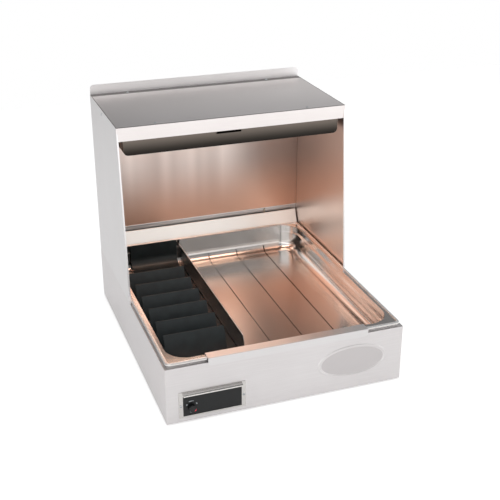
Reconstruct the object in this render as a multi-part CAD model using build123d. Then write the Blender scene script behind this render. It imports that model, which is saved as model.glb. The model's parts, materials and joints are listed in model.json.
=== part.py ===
from build123d import *
import math
import os

# Countertop chip warmer: a heated base with a lift-out pan, and a hood that
# carries an overhead heater. Millimetres, +X right, +Y back, +Z up, origin at
# the middle of the footprint on the counter.

# ---- driving dimensions ----
WIDTH = 550.0            # cabinet, side to side
DEPTH = 642.0            # base, front to back
BASE_HEIGHT = 134.0      # base casing above its feet
HOOD_HEIGHT = 414.0      # base deck to the top sheet's upper face
FOOT_HEIGHT = 4.0
SHEET = 1.2              # stainless sheet
CLEAR = 0.3              # between pieces that lift apart
FIT = 0.2                # between pieces that are fastened together
FRONT_PROUD = 9.5        # visor ahead of the front, and gland behind the back
FOLD = 12.0              # width of a joining flange
PAST = 1.0               # how far a cutting tool runs past the face it cuts

# pan
FLANGE_SIDE = 13.5
FLANGE_FRONT = 17.0
FLANGE_REAR = 7.5
PAN_GAP_SIDE = 4.0       # pan rim inside the cabinet's width
PAN_GAP_FRONT = 4.0
PAN_BEHIND = 27.0        # cabinet behind the pan's rim
PAN_DEPTH = 66.0
PAN_CORNER = 48.0
PAN_BOTTOM_ROUND = 20.0
PAN_STEP_DEPTH = 20.0
PAN_STEP = 4.0
BEAD_WIDTH = 6.0
BEAD_HEIGHT = 5.7
BEAD_RISE = 1.4          # bead above the flat flange
BEAD_ROUND = 2.4
BEAD_UNDER_ROUND = 1.6
BEAD_OVERLAP = 1.0       # flange's edge inside the bead's outer face
BEAD_INNER_CORNER = 8.0
RIM_CORNER = 12.0
GRIP_WIDTH = 368.0
GRIP_CENTRE = 3.0
GRIP_DROP = 18.0
GRIP_HOOK = 4.0          # hook below the flange's face
GRIP_ROUND = 8.0
GRIP_BEND = 1.0

# well
DECK_RING = 3.4          # raised seat above the deck
WELL_GAP = 1.3           # pan wall to well wall
RING_SIDE = 9.0
RING_REAR = 3.5
WELL_UNDER_PAN = 8.8
BLANKET = 2.0
INSULATION = 12.0

# pan inserts
BAG_BAY_WIDTH = 183.0    # pan's left wall to the divider
INSERT_FRONT_GAP = 55.0  # divider and ramp behind the pan's front wall
DIVIDER_HEIGHT = 57.5
DIVIDER_ROUND = 18.0
DIVIDER_FOOT = 20.0
DIVIDER_BACK_GAP = 5.0
RAMP_SIDE_GAP = 31.5     # ramp to the pan's right wall
RAMP_HEIGHT = 70.0
RAMP_BEND = 30.0
RAMP_BACK_GAP = 6.0      # ramp's back ahead of the pan wall, clear of its corners
RAMP_SLOT_PITCH = 79.0
RAMP_SLOT_WIDTH = 3.0
RAMP_SLOT_END = 10.0     # plain floor around a slot
RAMP_SLOT_RISE = 27.0    # slots run this far back into the ramp's bend
RAMP_CLIP = 12.0         # clipped rear corner, clear of the pan's rounded one
RACK_SIDE_GAP = 17.5     # rack to the pan's left wall
RACK_FRONT_GAP = 38.0
RACK_DIVIDER_GAP = 1.3
RACK_CORNER = 34.0
RACK_RISE_GAP = 5.0      # its turned-up rear edge stops short of its right side
RACK_LEG = 4.0
RACK_LEG_GAP = 1.0       # left leg clear of the pan's rounded floor edge
RACK_PLATE_GAP = 25.5    # plates' right ends to the divider
RACK_PLATE_START = 94.0  # first plate behind the pan's front wall
RACK_PLATE_COUNT = 6
RACK_PLATE_PITCH = 65.0
RACK_PLATE_HEIGHT = 50.0
RACK_PLATE_LEAN = 28.0   # degrees back from upright

# hood
HOOD_SETBACK = 2.0       # hood back ahead of the base back
HOOD_DEPTH_LOW = 331.0   # hood sides at the deck
HOOD_DEPTH_HIGH = 294.0  # hood sides under the top
SIDE_FOOT_START = 6.0    # foot fold behind a side's front edge
HEM = 3.6                # front edge of a hood side, folded in beside the pan
LIP_HEIGHT = 31.4
LIP_FULL = 12.0
LIP_RETURN = 6.0
RAIL_HEIGHT = 23.6
RAIL_CORNER = 10.0
RAIL_FOLD = 16.0
RAIL_INSET = 1.0         # rail's ends inside the cabinet's sides
TOP_FOLD = 20.0          # side folds of the top sheet
CAVITY = 6.8             # wiring space behind the back panel
BACK_PANEL_LOW = 55.5    # bottom edge of the back panel above the deck
BACK_PANEL_BELOW_TOP = 6.8
BACK_PANEL_FOLD = 3.0
BAFFLE_HEIGHT = 42.0
BAFFLE_BEND = 10.0       # where its upright foot turns into its slope, above the deck
BAFFLE_GAP = 1.2         # behind the pan's rim
BAFFLE_END_GAP = 2.5
BAFFLE_SIDE_GAP = 2.0    # hood sides' foot folds end this far ahead of it
TOP_SCREW_INSET = 92.0
SIDE_SCREW_AHEAD = 137.0 # ahead of the hood's back
SIDE_SCREW_BELOW = 12.0
REAR_SCREW_LOW = 30.0    # lowest above the deck
REAR_SCREW_HIGH = 40.0   # highest below the top
SCREW_HEAD = 3.2
SCREW_HEAD_HEIGHT = 1.4
SCREW_SHANK = 1.8
SCREW_HOLE = 2.0
SCREW_PAST = 2.0         # thread past the last sheet

# overhead heater
HOUSING_SIDE_GAP = 15.0
HOUSING_DEPTH = 170.0
HOUSING_BELOW_TOP = 68.0
HOUSING_HEIGHT = 38.0
HOUSING_CORNER = 12.0
HOUSING_HEM = 7.0
SLOT_LENGTH = 61.0
SLOT_HEIGHT = 5.0
SLOT_X = -12.5
SLOT_BELOW_LIP = 5.5
HANGER_WIDTH = 40.0
HANGER_AHEAD = 12.0      # hanger ahead of the housing's rear
HANGER_FOOT = 14.0
HANGER_HEAD = 13.8
REFLECTOR_END_GAP = 22.0
REFLECTOR_HEAD_GAP = 3.0
REFLECTOR_SHEET = 1.0
REFLECTOR_FLAT = 18.0
REFLECTOR_SLOPE = 28.0
REFLECTOR_SKEW = 0.6     # inner face's offset on the slopes, in sheet thicknesses
ELEMENT_RADIUS = 4.0
ELEMENT_PITCH = 54.0
ELEMENT_BELOW = 18.0     # element axis under the housing's top
ELEMENT_END_GAP = 8.0
ELEMENT_BEND_GAP = 55.0
ELEMENT_BRACKET_GAP = 15.0
ELEMENT_BRACKET_MARGIN = 20.0
ELEMENT_BRACKET_DROP = 12.0
ELEMENT_SUPPORT_MARGIN = 7.0
ELEMENT_SUPPORT_DROP = 2.5
ELEMENT_PLAY = 0.1
ELEMENT_SUPPORTS = (-80.0, 90.0)
INSULATOR_RADIUS = 6.0
INSULATOR_LENGTH = 10.0
INSULATOR_COLLAR = 2.0
GUARD_WIRE = 1.5
GUARD_PITCH = 50.0
GUARD_RAIL = 42.0        # outer rails from the middle one
GUARD_END_GAP = 1.0
GUARD_SIDE_GAP = 10.0
GUARD_SINK = 1.6         # rails above the cross wires, in wire radii
REST_PLAY = 0.05

# controls
PANEL_FROM_SIDE = 102.1  # centre of the panel to the cabinet's left side
PANEL_ABOVE_BASE = 39.5
PANEL_WIDTH = 130.6
PANEL_HEIGHT = 52.0
PANEL_OVERLAP = 3.0      # bezel over the panel's edge
BEZEL_SIDE = 9.5
BEZEL_BELOW = 4.0
BEZEL_ABOVE = 7.5
BEZEL_SCREW = 5.0
BEZEL_ROUND = 2.0
VISOR_BELOW = 1.0        # visor's top below the bezel's
KNOB_FROM_LEFT = 18.9    # from the panel's left edge
KNOB_ABOVE_LOW = 19.2    # from the panel's lower edge
KNOB_RADIUS = 8.0
KNOB_HEIGHT = 7.6
KNOB_GAP = 0.6           # knob ahead of the facia
KNOB_FACE = 2.0          # thickness ahead of the spindle's tip
KNOB_FLUTES = 12
FLUTE_RADIUS = 0.8
POINTER_WIDTH = 1.0
POINTER_DEPTH = 0.6
POINTER_START = 1.0      # from the knob's axis
KNOB_ROUND = 1.0
SPINDLE_RADIUS = 3.0
SPINDLE_PLAY = 0.05
SPINDLE_HOLE = 3.6
SPINDLE_END_GAP = 1.0    # spindle's tip to the end of its bore
BUSH_RADIUS = 4.4
PRESS_PLAY = 0.02        # between pieces pressed or screwed together
LAMP_RIGHT_OF_KNOB = 6.9
LAMP_BELOW_KNOB = 8.8
LAMP_RADIUS = 2.5
LAMP_BODY_RADIUS = 3.1
LAMP_LENGTH = 20.0
LENS_PROUD = 1.6
LENS_ROUND = 1.2
SWITCH_WIDTH = 36.0
SWITCH_HEIGHT = 20.0
SWITCH_DEPTH = 25.0
SWITCH_BORE = 14.0
BRACKET_SIDE = 2.0       # bracket wider than the bezel
VISOR_SIDE = 0.5         # visor wider than the panel

# front emblem field
OVAL_FROM_SIDE = 122.0   # centre to the cabinet's right side
OVAL_BELOW_DECK = 64.0
OVAL_WIDTH = 168.0
OVAL_HEIGHT = 80.0
OVAL_BAND = 5.0
OVAL_RISE = 1.0

# rear connections and wiring
GLAND_FROM_SIDE = 75.0
GLAND_ABOVE_BASE = 36.0
GLAND_BORE = 4.5
GLAND_THREAD = 8.0
GLAND_FLATS = 20.0
GLAND_INSIDE = 13.0
GLAND_ROUND = 1.5
NUT_THICKNESS = 5.0
BLOCK_FROM_SIDE = 109.0
BLOCK_FROM_BACK = 59.0
BLOCK_SIZE = (44.0, 22.0, 18.0)
TERMINALS = 4
TERMINAL_PITCH = 10.0
TERMINAL_RADIUS = 2.5
TERMINAL_DEPTH = 6.0
LEAD_RADIUS = 2.0
LEAD_RIGHT = 16.0        # heater's leads right of the terminal block's middle
LEAD_HOLE = 1.0          # hole round a lead, beyond its radius
LEAD_LOW = 15.0          # heater's leads above the counter
LEAD_NOTCH = 8.0         # half width of the back panel's notches for the leads
LEAD_NOTCH_DROP = 34.0
LEAD_OVER = 16.0         # leads below the top sheet
LEAD_AHEAD = 60.0        # where they cross to the element's ends, ahead of the rear cavity
LEAD_DIP = 12.0          # into the housing
LEAD_STEP_LOW = 44.0     # where they step back into the hood, below the deck
LEAD_STEP_HIGH = 14.0
CONTROL_LEAD_AHEAD = 102.0
CONTROL_LEAD_BEHIND = 171.0
CONTROL_LEAD_TURN = 26.0
CONTROL_LEAD_RISE = 6.0  # into the switch, above the knob's axis
BLANKET_LEAD_RISE = 16.0
BLANKET_LEAD_INSET = 2.5
TIGHT_BEND = 8.0         # centre-line radii of the leads' bends
LEAD_BEND = 10.0
STEP_BEND = 20.0
LONG_BEND = 25.0
WIDE_BEND = 60.0
BLANKET_LEAD_LEFT = 46.0
BLANKET_LEAD_AHEAD = 27.0
BLANKET_MARGIN = 36.0
BLANKET_ROUND = 20.0
TRAY_WALL = 20.0         # insulation tray above the well's floor
AIR_SLOT_GAP = 12.0      # deck left between two air slots
AIR_SLOT_WIDTH = 5.2
AIR_LEAD_OFFSET = 18.0   # outer air slot's middle, right of the leads
VENT_LENGTH = 34.0       # louvre slots in the base's back
VENT_WIDTH = 4.0
VENT_PITCH = 46.0
VENT_ROW_PITCH = 12.0
VENT_BELOW_DECK = 52.0   # lowest row
PLATE_SLOT_LENGTH = 90.0
PLATE_SLOT_WIDTH = 5.0
PLATE_SLOT_X = 70.0
PLATE_SLOT_PITCH = 40.0
FOOT_INSET = 38.0
FOOT_RADIUS = 12.0
FOOT_TAPER = 1.5
FOOT_HOLE = 3.0
FOOT_BUTTON = 5.0
FOOT_BUTTON_HEIGHT = 2.0

# ---- derived levels and faces ----
half_w = WIDTH / 2
front_y = -DEPTH / 2
rear_y = DEPTH / 2
inner_w = half_w - SHEET
base_low = FOOT_HEIGHT
deck = FOOT_HEIGHT + BASE_HEIGHT
top = deck + HOOD_HEIGHT
top_under = top - SHEET
hood_rear = rear_y - HOOD_SETBACK
back_panel_rear = hood_rear - SHEET - CAVITY
back_panel_front = back_panel_rear - SHEET
plate_top = base_low + 2 * SHEET     # upper face of the bottom plate

seat = deck + DECK_RING
bead_low = seat + CLEAR
rim_top = bead_low + BEAD_HEIGHT
flat_top = rim_top - BEAD_RISE
rim_x = half_w - PAN_GAP_SIDE
rim_front = front_y + PAN_GAP_FRONT
rim_rear = rear_y - PAN_BEHIND
baffle_low_y = rim_rear + BAFFLE_GAP
pan_x = rim_x - FLANGE_SIDE
pan_front = rim_front + FLANGE_FRONT
pan_rear = rim_rear - FLANGE_REAR
pan_floor = rim_top - PAN_DEPTH
insert_floor = pan_floor + CLEAR
insert_front = pan_front + INSERT_FRONT_GAP
divider_x = -pan_x + BAG_BAY_WIDTH
ramp_right = pan_x - RAMP_SIDE_GAP
rise_back = pan_rear - PAN_STEP - RAMP_BACK_GAP
rise_bend = rise_back - RAMP_BEND
rack_left = -pan_x + RACK_SIDE_GAP
rack_front = pan_front + RACK_FRONT_GAP

well_x = pan_x + SHEET + WELL_GAP
well_front = pan_front - SHEET - WELL_GAP
well_rear = pan_rear + SHEET + WELL_GAP
well_corner = PAN_CORNER + SHEET + WELL_GAP
well_floor = pan_floor - SHEET - WELL_UNDER_PAN
blanket_low = well_floor - SHEET - BLANKET
tray_floor = blanket_low - INSULATION

hood_front_low = hood_rear - HOOD_DEPTH_LOW
hood_front_high = hood_rear - HOOD_DEPTH_HIGH
top_screw_x = half_w - TOP_SCREW_INSET
side_screw_y = hood_rear - SIDE_SCREW_AHEAD
side_screw_z = top - SIDE_SCREW_BELOW
rear_screw_x = inner_w - FOLD / 2
rear_screw_z = (deck + REAR_SCREW_LOW, (deck + top) / 2, top - REAR_SCREW_HIGH)
cavity_y = (back_panel_rear + hood_rear - SHEET) / 2

housing_x = half_w - HOUSING_SIDE_GAP
housing_front = hood_front_high + SHEET + LIP_RETURN + FIT
housing_rear = housing_front + HOUSING_DEPTH
housing_low = top - HOUSING_BELOW_TOP
housing_top = housing_low + HOUSING_HEIGHT
housing_mid = (housing_front + housing_rear) / 2
element_z = housing_top - ELEMENT_BELOW
top_screw_y = (housing_front + FOLD / 2, hood_rear - SHEET - RAIL_FOLD / 2)
reflector_x = housing_x - REFLECTOR_END_GAP
reflector_high = housing_top - SHEET - REFLECTOR_HEAD_GAP
guard_z = housing_low + SHEET + GUARD_WIRE + REST_PLAY
guard_front = housing_front + SHEET + GUARD_END_GAP
guard_rear = housing_rear - SHEET - GUARD_END_GAP
element_end = -housing_x + ELEMENT_END_GAP
element_bend = housing_x - ELEMENT_BEND_GAP
element_legs = (housing_mid - ELEMENT_PITCH / 2, housing_mid + ELEMENT_PITCH / 2)
bracket_x = -housing_x + ELEMENT_BRACKET_GAP
lip_low = top - LIP_HEIGHT

panel_x = -half_w + PANEL_FROM_SIDE
panel_z = base_low + PANEL_ABOVE_BASE
panel_left = panel_x - PANEL_WIDTH / 2
panel_right = panel_x + PANEL_WIDTH / 2
panel_low = panel_z - PANEL_HEIGHT / 2
panel_high = panel_z + PANEL_HEIGHT / 2
bezel_screw_x = (panel_left - BEZEL_SCREW, panel_right + BEZEL_SCREW)
knob_x = panel_left + KNOB_FROM_LEFT
knob_z = panel_low + KNOB_ABOVE_LOW
knob_rear = front_y - KNOB_GAP
knob_front = knob_rear - KNOB_HEIGHT
lamp_x = knob_x + LAMP_RIGHT_OF_KNOB
lamp_z = knob_z - LAMP_BELOW_KNOB
oval_x = half_w - OVAL_FROM_SIDE
oval_z = deck - OVAL_BELOW_DECK

gland_x = half_w - GLAND_FROM_SIDE
gland_z = base_low + GLAND_ABOVE_BASE
block_x = half_w - BLOCK_FROM_SIDE
block_y = rear_y - BLOCK_FROM_BACK
lead_x = block_x + LEAD_RIGHT         # where the heater's leads climb through the deck
air_pitch = (lead_x + AIR_LEAD_OFFSET) / 2
blanket_lead_x = block_x - BLANKET_LEAD_LEFT
blanket_lead_y = block_y - BLANKET_LEAD_AHEAD


# ---- small tools ----
def block(x0, x1, y0, y1, z0, z1):
    size = Box(abs(x1 - x0), abs(y1 - y0), abs(z1 - z0))
    return Pos((x0 + x1) / 2, (y0 + y1) / 2, (z0 + z1) / 2) * size


def rounded(x0, x1, y0, y1, z0, z1, radius):
    """A block with upright edges rounded."""
    outline = Pos((x0 + x1) / 2, (y0 + y1) / 2, z0) * RectangleRounded(x1 - x0, y1 - y0, radius)
    return extrude(outline, z1 - z0)


def rod(radius, start, end):
    """A round rod between two points on one axis-parallel line."""
    begin, finish = Vector(*start), Vector(*end)
    axis = finish - begin
    return extrude(Plane(origin=begin, z_dir=axis) * Circle(radius), axis.length)


def side_profile(points, x0, x1):
    """A prism along X from an outline of (y, z) points."""
    outline = make_face(Polyline(*[(x0, y, z) for y, z in points], close=True))
    return extrude(outline, x1 - x0, dir=(1, 0, 0))


def front_slot(length, height, x, z, y0, y1):
    """A round-ended slot that runs along X, cut along Y."""
    plane = Plane(origin=(x, y0, z), x_dir=(1, 0, 0), z_dir=(0, 1, 0))
    return extrude(plane * SlotOverall(length, height), y1 - y0)


def deck_slot(length, height, x, y, z0, z1):
    """A round-ended slot that runs along X, cut along Z."""
    return extrude(Pos(x, y, z0) * SlotOverall(length, height), z1 - z0)


def screw(head_base, direction, length):
    """A round-head screw: its head stands on head_base, its shank goes the other way."""
    base, out = Vector(*head_base), Vector(*direction)
    head = extrude(Plane(origin=base, z_dir=out) * Circle(SCREW_HEAD), SCREW_HEAD_HEIGHT)
    head = fillet(head.edges().group_by(lambda e: (e.center() - base).dot(out))[-1], SCREW_HEAD_HEIGHT / 2)
    shank = extrude(Plane(origin=base, z_dir=-out) * Circle(SCREW_SHANK), length)
    return head + shank


def cable(points, radii):
    """A round lead along straight runs joined by arcs."""
    path = FilletPolyline(*points, radius=radii)
    plane = Plane(origin=path @ 0, z_dir=path % 0)
    return sweep(plane * Circle(LEAD_RADIUS), path)


def save(node, *solids):
    shape = solids[0] if len(solids) == 1 else Compound(children=list(solids))
    export_step(shape, f"parts/{node}.step")


# ---- base ----
def oval(width, height, y):
    plane = Plane(origin=(oval_x, y, oval_z), x_dir=(1, 0, 0), z_dir=(0, -1, 0))
    return plane * Ellipse(width / 2, height / 2)


def oval_band():
    """Raised elliptical band round a bare field, with sloping flanks."""
    face = front_y - OVAL_RISE
    inner_w_, inner_h = OVAL_WIDTH - 2 * OVAL_BAND, OVAL_HEIGHT - 2 * OVAL_BAND
    slope = 2 * OVAL_RISE
    outer = loft([oval(OVAL_WIDTH, OVAL_HEIGHT, front_y),
                  oval(OVAL_WIDTH - slope, OVAL_HEIGHT - slope, face)])
    field = loft([oval(inner_w_ - slope, inner_h - slope, front_y), oval(inner_w_, inner_h, face)])
    return outer - field


def well_opening(grow, z0, z1):
    """The well's outline, grown outward."""
    return rounded(-well_x - grow, well_x + grow, well_front - grow, well_rear + grow, z0, z1,
                   well_corner + grow)


def base_shell():
    """Front and both sides in one wrap, with the deck and a bottom fold."""
    shell = block(-half_w, half_w, front_y, rear_y, base_low, deck)
    shell = fillet(shell.edges().filter_by(Axis.Z).group_by(Axis.Y)[0], 2 * SHEET)
    shell = fillet(shell.faces().sort_by(Axis.Z)[-1].edges(), SHEET * 0.75)
    shell -= block(-inner_w, inner_w, front_y + SHEET, rear_y + PAST, base_low + SHEET, deck - SHEET)
    inner_fold = inner_w - FOLD
    shell -= block(-inner_fold, inner_fold, front_y + SHEET + FOLD, rear_y + PAST, base_low - PAST,
                   base_low + SHEET)
    shell -= block(-inner_w, inner_w, rear_y - SHEET - FIT, rear_y + PAST, base_low - PAST, base_low + SHEET)
    shell -= well_opening(SHEET + WELL_GAP, deck - 2 * SHEET, deck + PAST)
    for index in range(-2, 3):
        shell -= deck_slot(air_pitch - AIR_SLOT_GAP, AIR_SLOT_WIDTH, index * air_pitch, cavity_y,
                           deck - 2 * SHEET, deck + PAST)
    cut = PANEL_OVERLAP + FIT
    shell -= block(panel_left - cut, panel_right + cut, front_y - PAST, front_y + SHEET,
                   panel_low - cut, panel_high + cut)
    for x in bezel_screw_x:
        shell -= rod(SCREW_HOLE, (x, front_y - PAST, panel_z), (x, front_y + SHEET, panel_z))
    return shell + oval_band()


def base_rear_panel():
    low, high = base_low, deck - SHEET - FIT
    width = inner_w - FIT
    panel = block(-width, width, rear_y - SHEET, rear_y, low, high)
    fold = inner_w - FOLD - FIT
    panel += block(-fold, fold, rear_y - SHEET - FOLD, rear_y - SHEET, low, low + SHEET)
    for row in range(3):
        for column in range(-4, 3):
            z = deck - VENT_BELOW_DECK + row * VENT_ROW_PITCH
            panel -= front_slot(VENT_LENGTH, VENT_WIDTH, column * VENT_PITCH, z, rear_y - 2 * SHEET,
                                rear_y + PAST)
    return panel - rod(GLAND_THREAD + FIT, (gland_x, rear_y - 2 * SHEET, gland_z),
                       (gland_x, rear_y + PAST, gland_z))


def foot_places():
    x, y = half_w - FOOT_INSET, rear_y - FOOT_INSET
    return [(-x, -y), (x, -y), (-x, y), (x, y)]


def base_bottom_plate():
    width, length = inner_w - FIT, rear_y - SHEET - FIT
    plate = block(-width, width, -length, length, base_low + SHEET, plate_top)
    for row in range(-2, 3):
        for column in (-1, 1):
            plate -= deck_slot(PLATE_SLOT_LENGTH, PLATE_SLOT_WIDTH, column * PLATE_SLOT_X,
                               row * PLATE_SLOT_PITCH,
                               base_low, plate_top + PAST)
    for x, y in foot_places():
        plate -= rod(FOOT_HOLE, (x, y, base_low), (x, y, plate_top + PAST))
    return plate


def rubber_feet():
    feet = []
    for x, y in foot_places():
        high = base_low + SHEET
        pad = Pos(x, y, high / 2) * Cone(FOOT_RADIUS - FOOT_TAPER, FOOT_RADIUS, high)
        plug = rod(FOOT_HOLE - FIT, (x, y, base_low), (x, y, plate_top))
        button = rod(FOOT_BUTTON, (x, y, plate_top), (x, y, plate_top + FOOT_BUTTON_HEIGHT))
        feet.append(pad + plug + button)
    return feet


def well_liner():
    """Heated well: a tray whose folded rim stands on the deck and carries the pan."""
    liner = well_opening(SHEET, well_floor - SHEET, seat)
    ring_front = well_front - RING_SIDE
    liner += rounded(-well_x - RING_SIDE, well_x + RING_SIDE, ring_front, well_rear + RING_REAR, deck, seat,
                     RIM_CORNER)
    return liner - well_opening(0, well_floor, seat + PAST)


def blanket_lead_hole(z0, z1):
    return rod(LEAD_RADIUS + LEAD_HOLE, (blanket_lead_x, blanket_lead_y, z0),
               (blanket_lead_x, blanket_lead_y, z1))


def insulation_slab():
    slab = well_opening(-CLEAR, tray_floor, blanket_low)
    return slab - blanket_lead_hole(tray_floor - PAST, blanket_low + PAST)


def insulation_tray():
    """Shallow tray that holds the insulation up against the well."""
    grow = SHEET + FIT
    wall_top = well_floor + TRAY_WALL
    tray = well_opening(grow + SHEET, tray_floor - SHEET, wall_top)
    tray -= well_opening(grow, tray_floor, wall_top + PAST)
    return tray - blanket_lead_hole(tray_floor - 2 * SHEET, tray_floor + PAST)


def heating_blanket():
    margin = BLANKET_MARGIN
    return rounded(-well_x + margin, well_x - margin, well_front + margin, well_rear - margin,
                   blanket_low, well_floor - SHEET, BLANKET_ROUND)


# ---- controls ----
def control_plate():
    """Black facia that shows through the bezel."""
    grow = PANEL_OVERLAP
    plate = block(panel_left - grow, panel_right + grow, front_y, front_y + SHEET,
                  panel_low - grow, panel_high + grow)
    near, far = front_y - PAST, front_y + 2 * SHEET
    plate -= rod(SPINDLE_HOLE, (knob_x, near, knob_z), (knob_x, far, knob_z))
    return plate - rod(LAMP_RADIUS, (lamp_x, near, lamp_z), (lamp_x, far, lamp_z))


def control_bezel():
    """Frame round the facia, with a rounded visor along its upper edge."""
    left, right = panel_left - BEZEL_SIDE, panel_right + BEZEL_SIDE
    low, high = panel_low - BEZEL_BELOW, panel_high + BEZEL_ABOVE
    frame = block(left, right, front_y - SHEET, front_y, low, high)
    frame = fillet(frame.edges().filter_by(Axis.Y), BEZEL_ROUND)
    frame -= block(panel_left, panel_right, front_y - 2 * SHEET, front_y + PAST, panel_low, panel_high)
    for x in bezel_screw_x:
        frame -= rod(SCREW_HOLE, (x, front_y - 2 * SHEET, panel_z), (x, front_y + PAST, panel_z))
    visor_out = FRONT_PROUD - SHEET
    visor_up = BEZEL_ABOVE - VISOR_BELOW
    left, right = panel_left - VISOR_SIDE, panel_right + VISOR_SIDE
    wrist = front_y - SHEET

    def quarter(out, up, x0, x1):
        plane = Plane(origin=(x0, wrist, panel_high), x_dir=(0, -1, 0), z_dir=(1, 0, 0))
        whole = plane * Ellipse(out, up)
        solid = extrude(whole, x1 - x0)
        return solid & block(x0, x1, wrist - out - PAST, wrist, panel_high, panel_high + up + PAST)

    visor = quarter(visor_out, visor_up, left, right)
    return frame + visor - quarter(visor_out - SHEET, visor_up - SHEET, left + SHEET, right - SHEET)


def control_bracket():
    grow = BEZEL_SIDE + BRACKET_SIDE
    bracket = block(panel_left - grow, panel_right + grow, front_y + SHEET, front_y + 2 * SHEET,
                    panel_low - BEZEL_BELOW, panel_high + BEZEL_ABOVE)
    near, far = front_y, front_y + 3 * SHEET
    bracket -= rod(BUSH_RADIUS + FIT, (knob_x, near, knob_z), (knob_x, far, knob_z))
    bracket -= rod(LAMP_BODY_RADIUS + FIT, (lamp_x, near, lamp_z), (lamp_x, far, lamp_z))
    for x in bezel_screw_x:
        bracket -= rod(SCREW_HOLE, (x, near, panel_z), (x, far, panel_z))
    return bracket


def heat_control():
    """Rotary heat switch behind the facia."""
    face = front_y + 2 * SHEET
    low = knob_z - BUSH_RADIUS
    body = block(knob_x - SWITCH_WIDTH / 2, knob_x + SWITCH_WIDTH / 2, face, face + SWITCH_DEPTH,
                 low, low + SWITCH_HEIGHT)
    body += rod(BUSH_RADIUS, (knob_x, face - SHEET + FIT, knob_z), (knob_x, face, knob_z))
    bore = SPINDLE_RADIUS + SPINDLE_PLAY
    return body - rod(bore, (knob_x, face - SHEET, knob_z), (knob_x, face + SWITCH_BORE, knob_z))


def control_knob():
    """Fluted knob with a pointer groove."""
    knob = rod(KNOB_RADIUS, (knob_x, knob_rear, knob_z), (knob_x, knob_front, knob_z))
    knob = fillet(knob.edges().group_by(Axis.Y)[0], KNOB_ROUND)
    for index in range(KNOB_FLUTES):
        turn = math.tau * (index + 0.5) / KNOB_FLUTES
        x, z = knob_x + KNOB_RADIUS * math.cos(turn), knob_z + KNOB_RADIUS * math.sin(turn)
        knob -= rod(FLUTE_RADIUS, (x, knob_rear + PAST, z), (x, knob_front - PAST, z))
    half = POINTER_WIDTH / 2
    knob -= block(knob_x - half, knob_x + half, knob_front - PAST, knob_front + POINTER_DEPTH,
                  knob_z + POINTER_START, knob_z + KNOB_RADIUS + PAST)
    return knob - rod(SPINDLE_RADIUS + PRESS_PLAY, (knob_x, knob_rear + PAST, knob_z),
                      (knob_x, knob_front + KNOB_FACE, knob_z))


def control_spindle():
    far = front_y + 2 * SHEET + SWITCH_BORE - SPINDLE_END_GAP
    return rod(SPINDLE_RADIUS, (knob_x, knob_front + KNOB_FACE, knob_z), (knob_x, far, knob_z))


def indicator_lens():
    lens = rod(LAMP_RADIUS, (lamp_x, front_y - LENS_PROUD, lamp_z), (lamp_x, front_y + SHEET, lamp_z))
    return fillet(lens.edges().group_by(Axis.Y)[0], LENS_ROUND)


def indicator_lamp():
    start = front_y + SHEET
    return rod(LAMP_BODY_RADIUS, (lamp_x, start, lamp_z), (lamp_x, start + LAMP_LENGTH, lamp_z))


# ---- rear connections and wiring ----
def hexagon(flats, y0, y1):
    plane = Plane(origin=(gland_x, y0, gland_z), x_dir=(1, 0, 0), z_dir=(0, 1, 0))
    return extrude(plane * RegularPolygon(flats / 2, 6, major_radius=False), y1 - y0)


def gland_bore(y0, y1):
    return rod(GLAND_BORE, (gland_x, y0, gland_z), (gland_x, y1, gland_z))


def cord_gland():
    end = rear_y + FRONT_PROUD
    shoulder = rear_y + FRONT_PROUD / 2
    gland = rod(GLAND_THREAD, (gland_x, rear_y - GLAND_INSIDE, gland_z), (gland_x, rear_y, gland_z))
    gland += hexagon(GLAND_FLATS, rear_y, shoulder)
    cap = rod(GLAND_THREAD, (gland_x, shoulder, gland_z), (gland_x, end, gland_z))
    gland += fillet(cap.edges().group_by(Axis.Y)[-1], GLAND_ROUND)
    return gland - gland_bore(rear_y - GLAND_INSIDE - PAST, end + PAST)


def gland_nut():
    outer = rear_y - SHEET
    inner = outer - NUT_THICKNESS
    nut = hexagon(GLAND_FLATS, inner, outer)
    bore = GLAND_THREAD + PRESS_PLAY
    return nut - rod(bore, (gland_x, inner - PAST, gland_z), (gland_x, outer + PAST, gland_z))


def terminal_block():
    wide, long, high = BLOCK_SIZE
    body = block(block_x - wide / 2, block_x + wide / 2, block_y, block_y + long, plate_top, plate_top + high)
    y, face = block_y + long / 2, plate_top + high
    for index in range(TERMINALS):
        x = block_x + (index - (TERMINALS - 1) / 2) * TERMINAL_PITCH
        body -= rod(TERMINAL_RADIUS, (x, y, face - TERMINAL_DEPTH), (x, y, face + PAST))
    return body


def control_leads():
    """From the terminal block along the bottom plate to the heat switch."""
    low = plate_top + LEAD_RADIUS + FIT
    high = knob_z + CONTROL_LEAD_RISE
    switch_rear = front_y + 2 * SHEET + SWITCH_DEPTH
    turn_y = switch_rear + CONTROL_LEAD_TURN
    points = [(block_x, block_y - PRESS_PLAY, low), (block_x, block_y - CONTROL_LEAD_AHEAD, low),
              (knob_x, front_y + CONTROL_LEAD_BEHIND, low), (knob_x, turn_y, low), (knob_x, turn_y, high),
              (knob_x, switch_rear, high)]
    return cable(points, [WIDE_BEND, WIDE_BEND, LEAD_BEND, LEAD_BEND])


def heater_leads():
    """From the terminal block up the rear cavity, then over the housing to the element."""
    x = lead_x
    rise_y = (well_rear + rear_y) / 2
    over = top_under - LEAD_OVER
    cross_y = cavity_y - LEAD_AHEAD
    points = [(x, block_y + BLOCK_SIZE[1], LEAD_LOW), (x, rise_y, LEAD_LOW),
              (x, rise_y, deck - LEAD_STEP_LOW),
              (x, cavity_y, deck - LEAD_STEP_HIGH), (x, cavity_y, over), (x, cross_y, over),
              (element_end, cross_y, over), (element_end, housing_mid, over),
              (element_end, housing_mid, housing_top - LEAD_DIP)]
    return cable(points, [TIGHT_BEND, STEP_BEND, STEP_BEND, LEAD_BEND, LONG_BEND, LONG_BEND, TIGHT_BEND])


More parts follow.
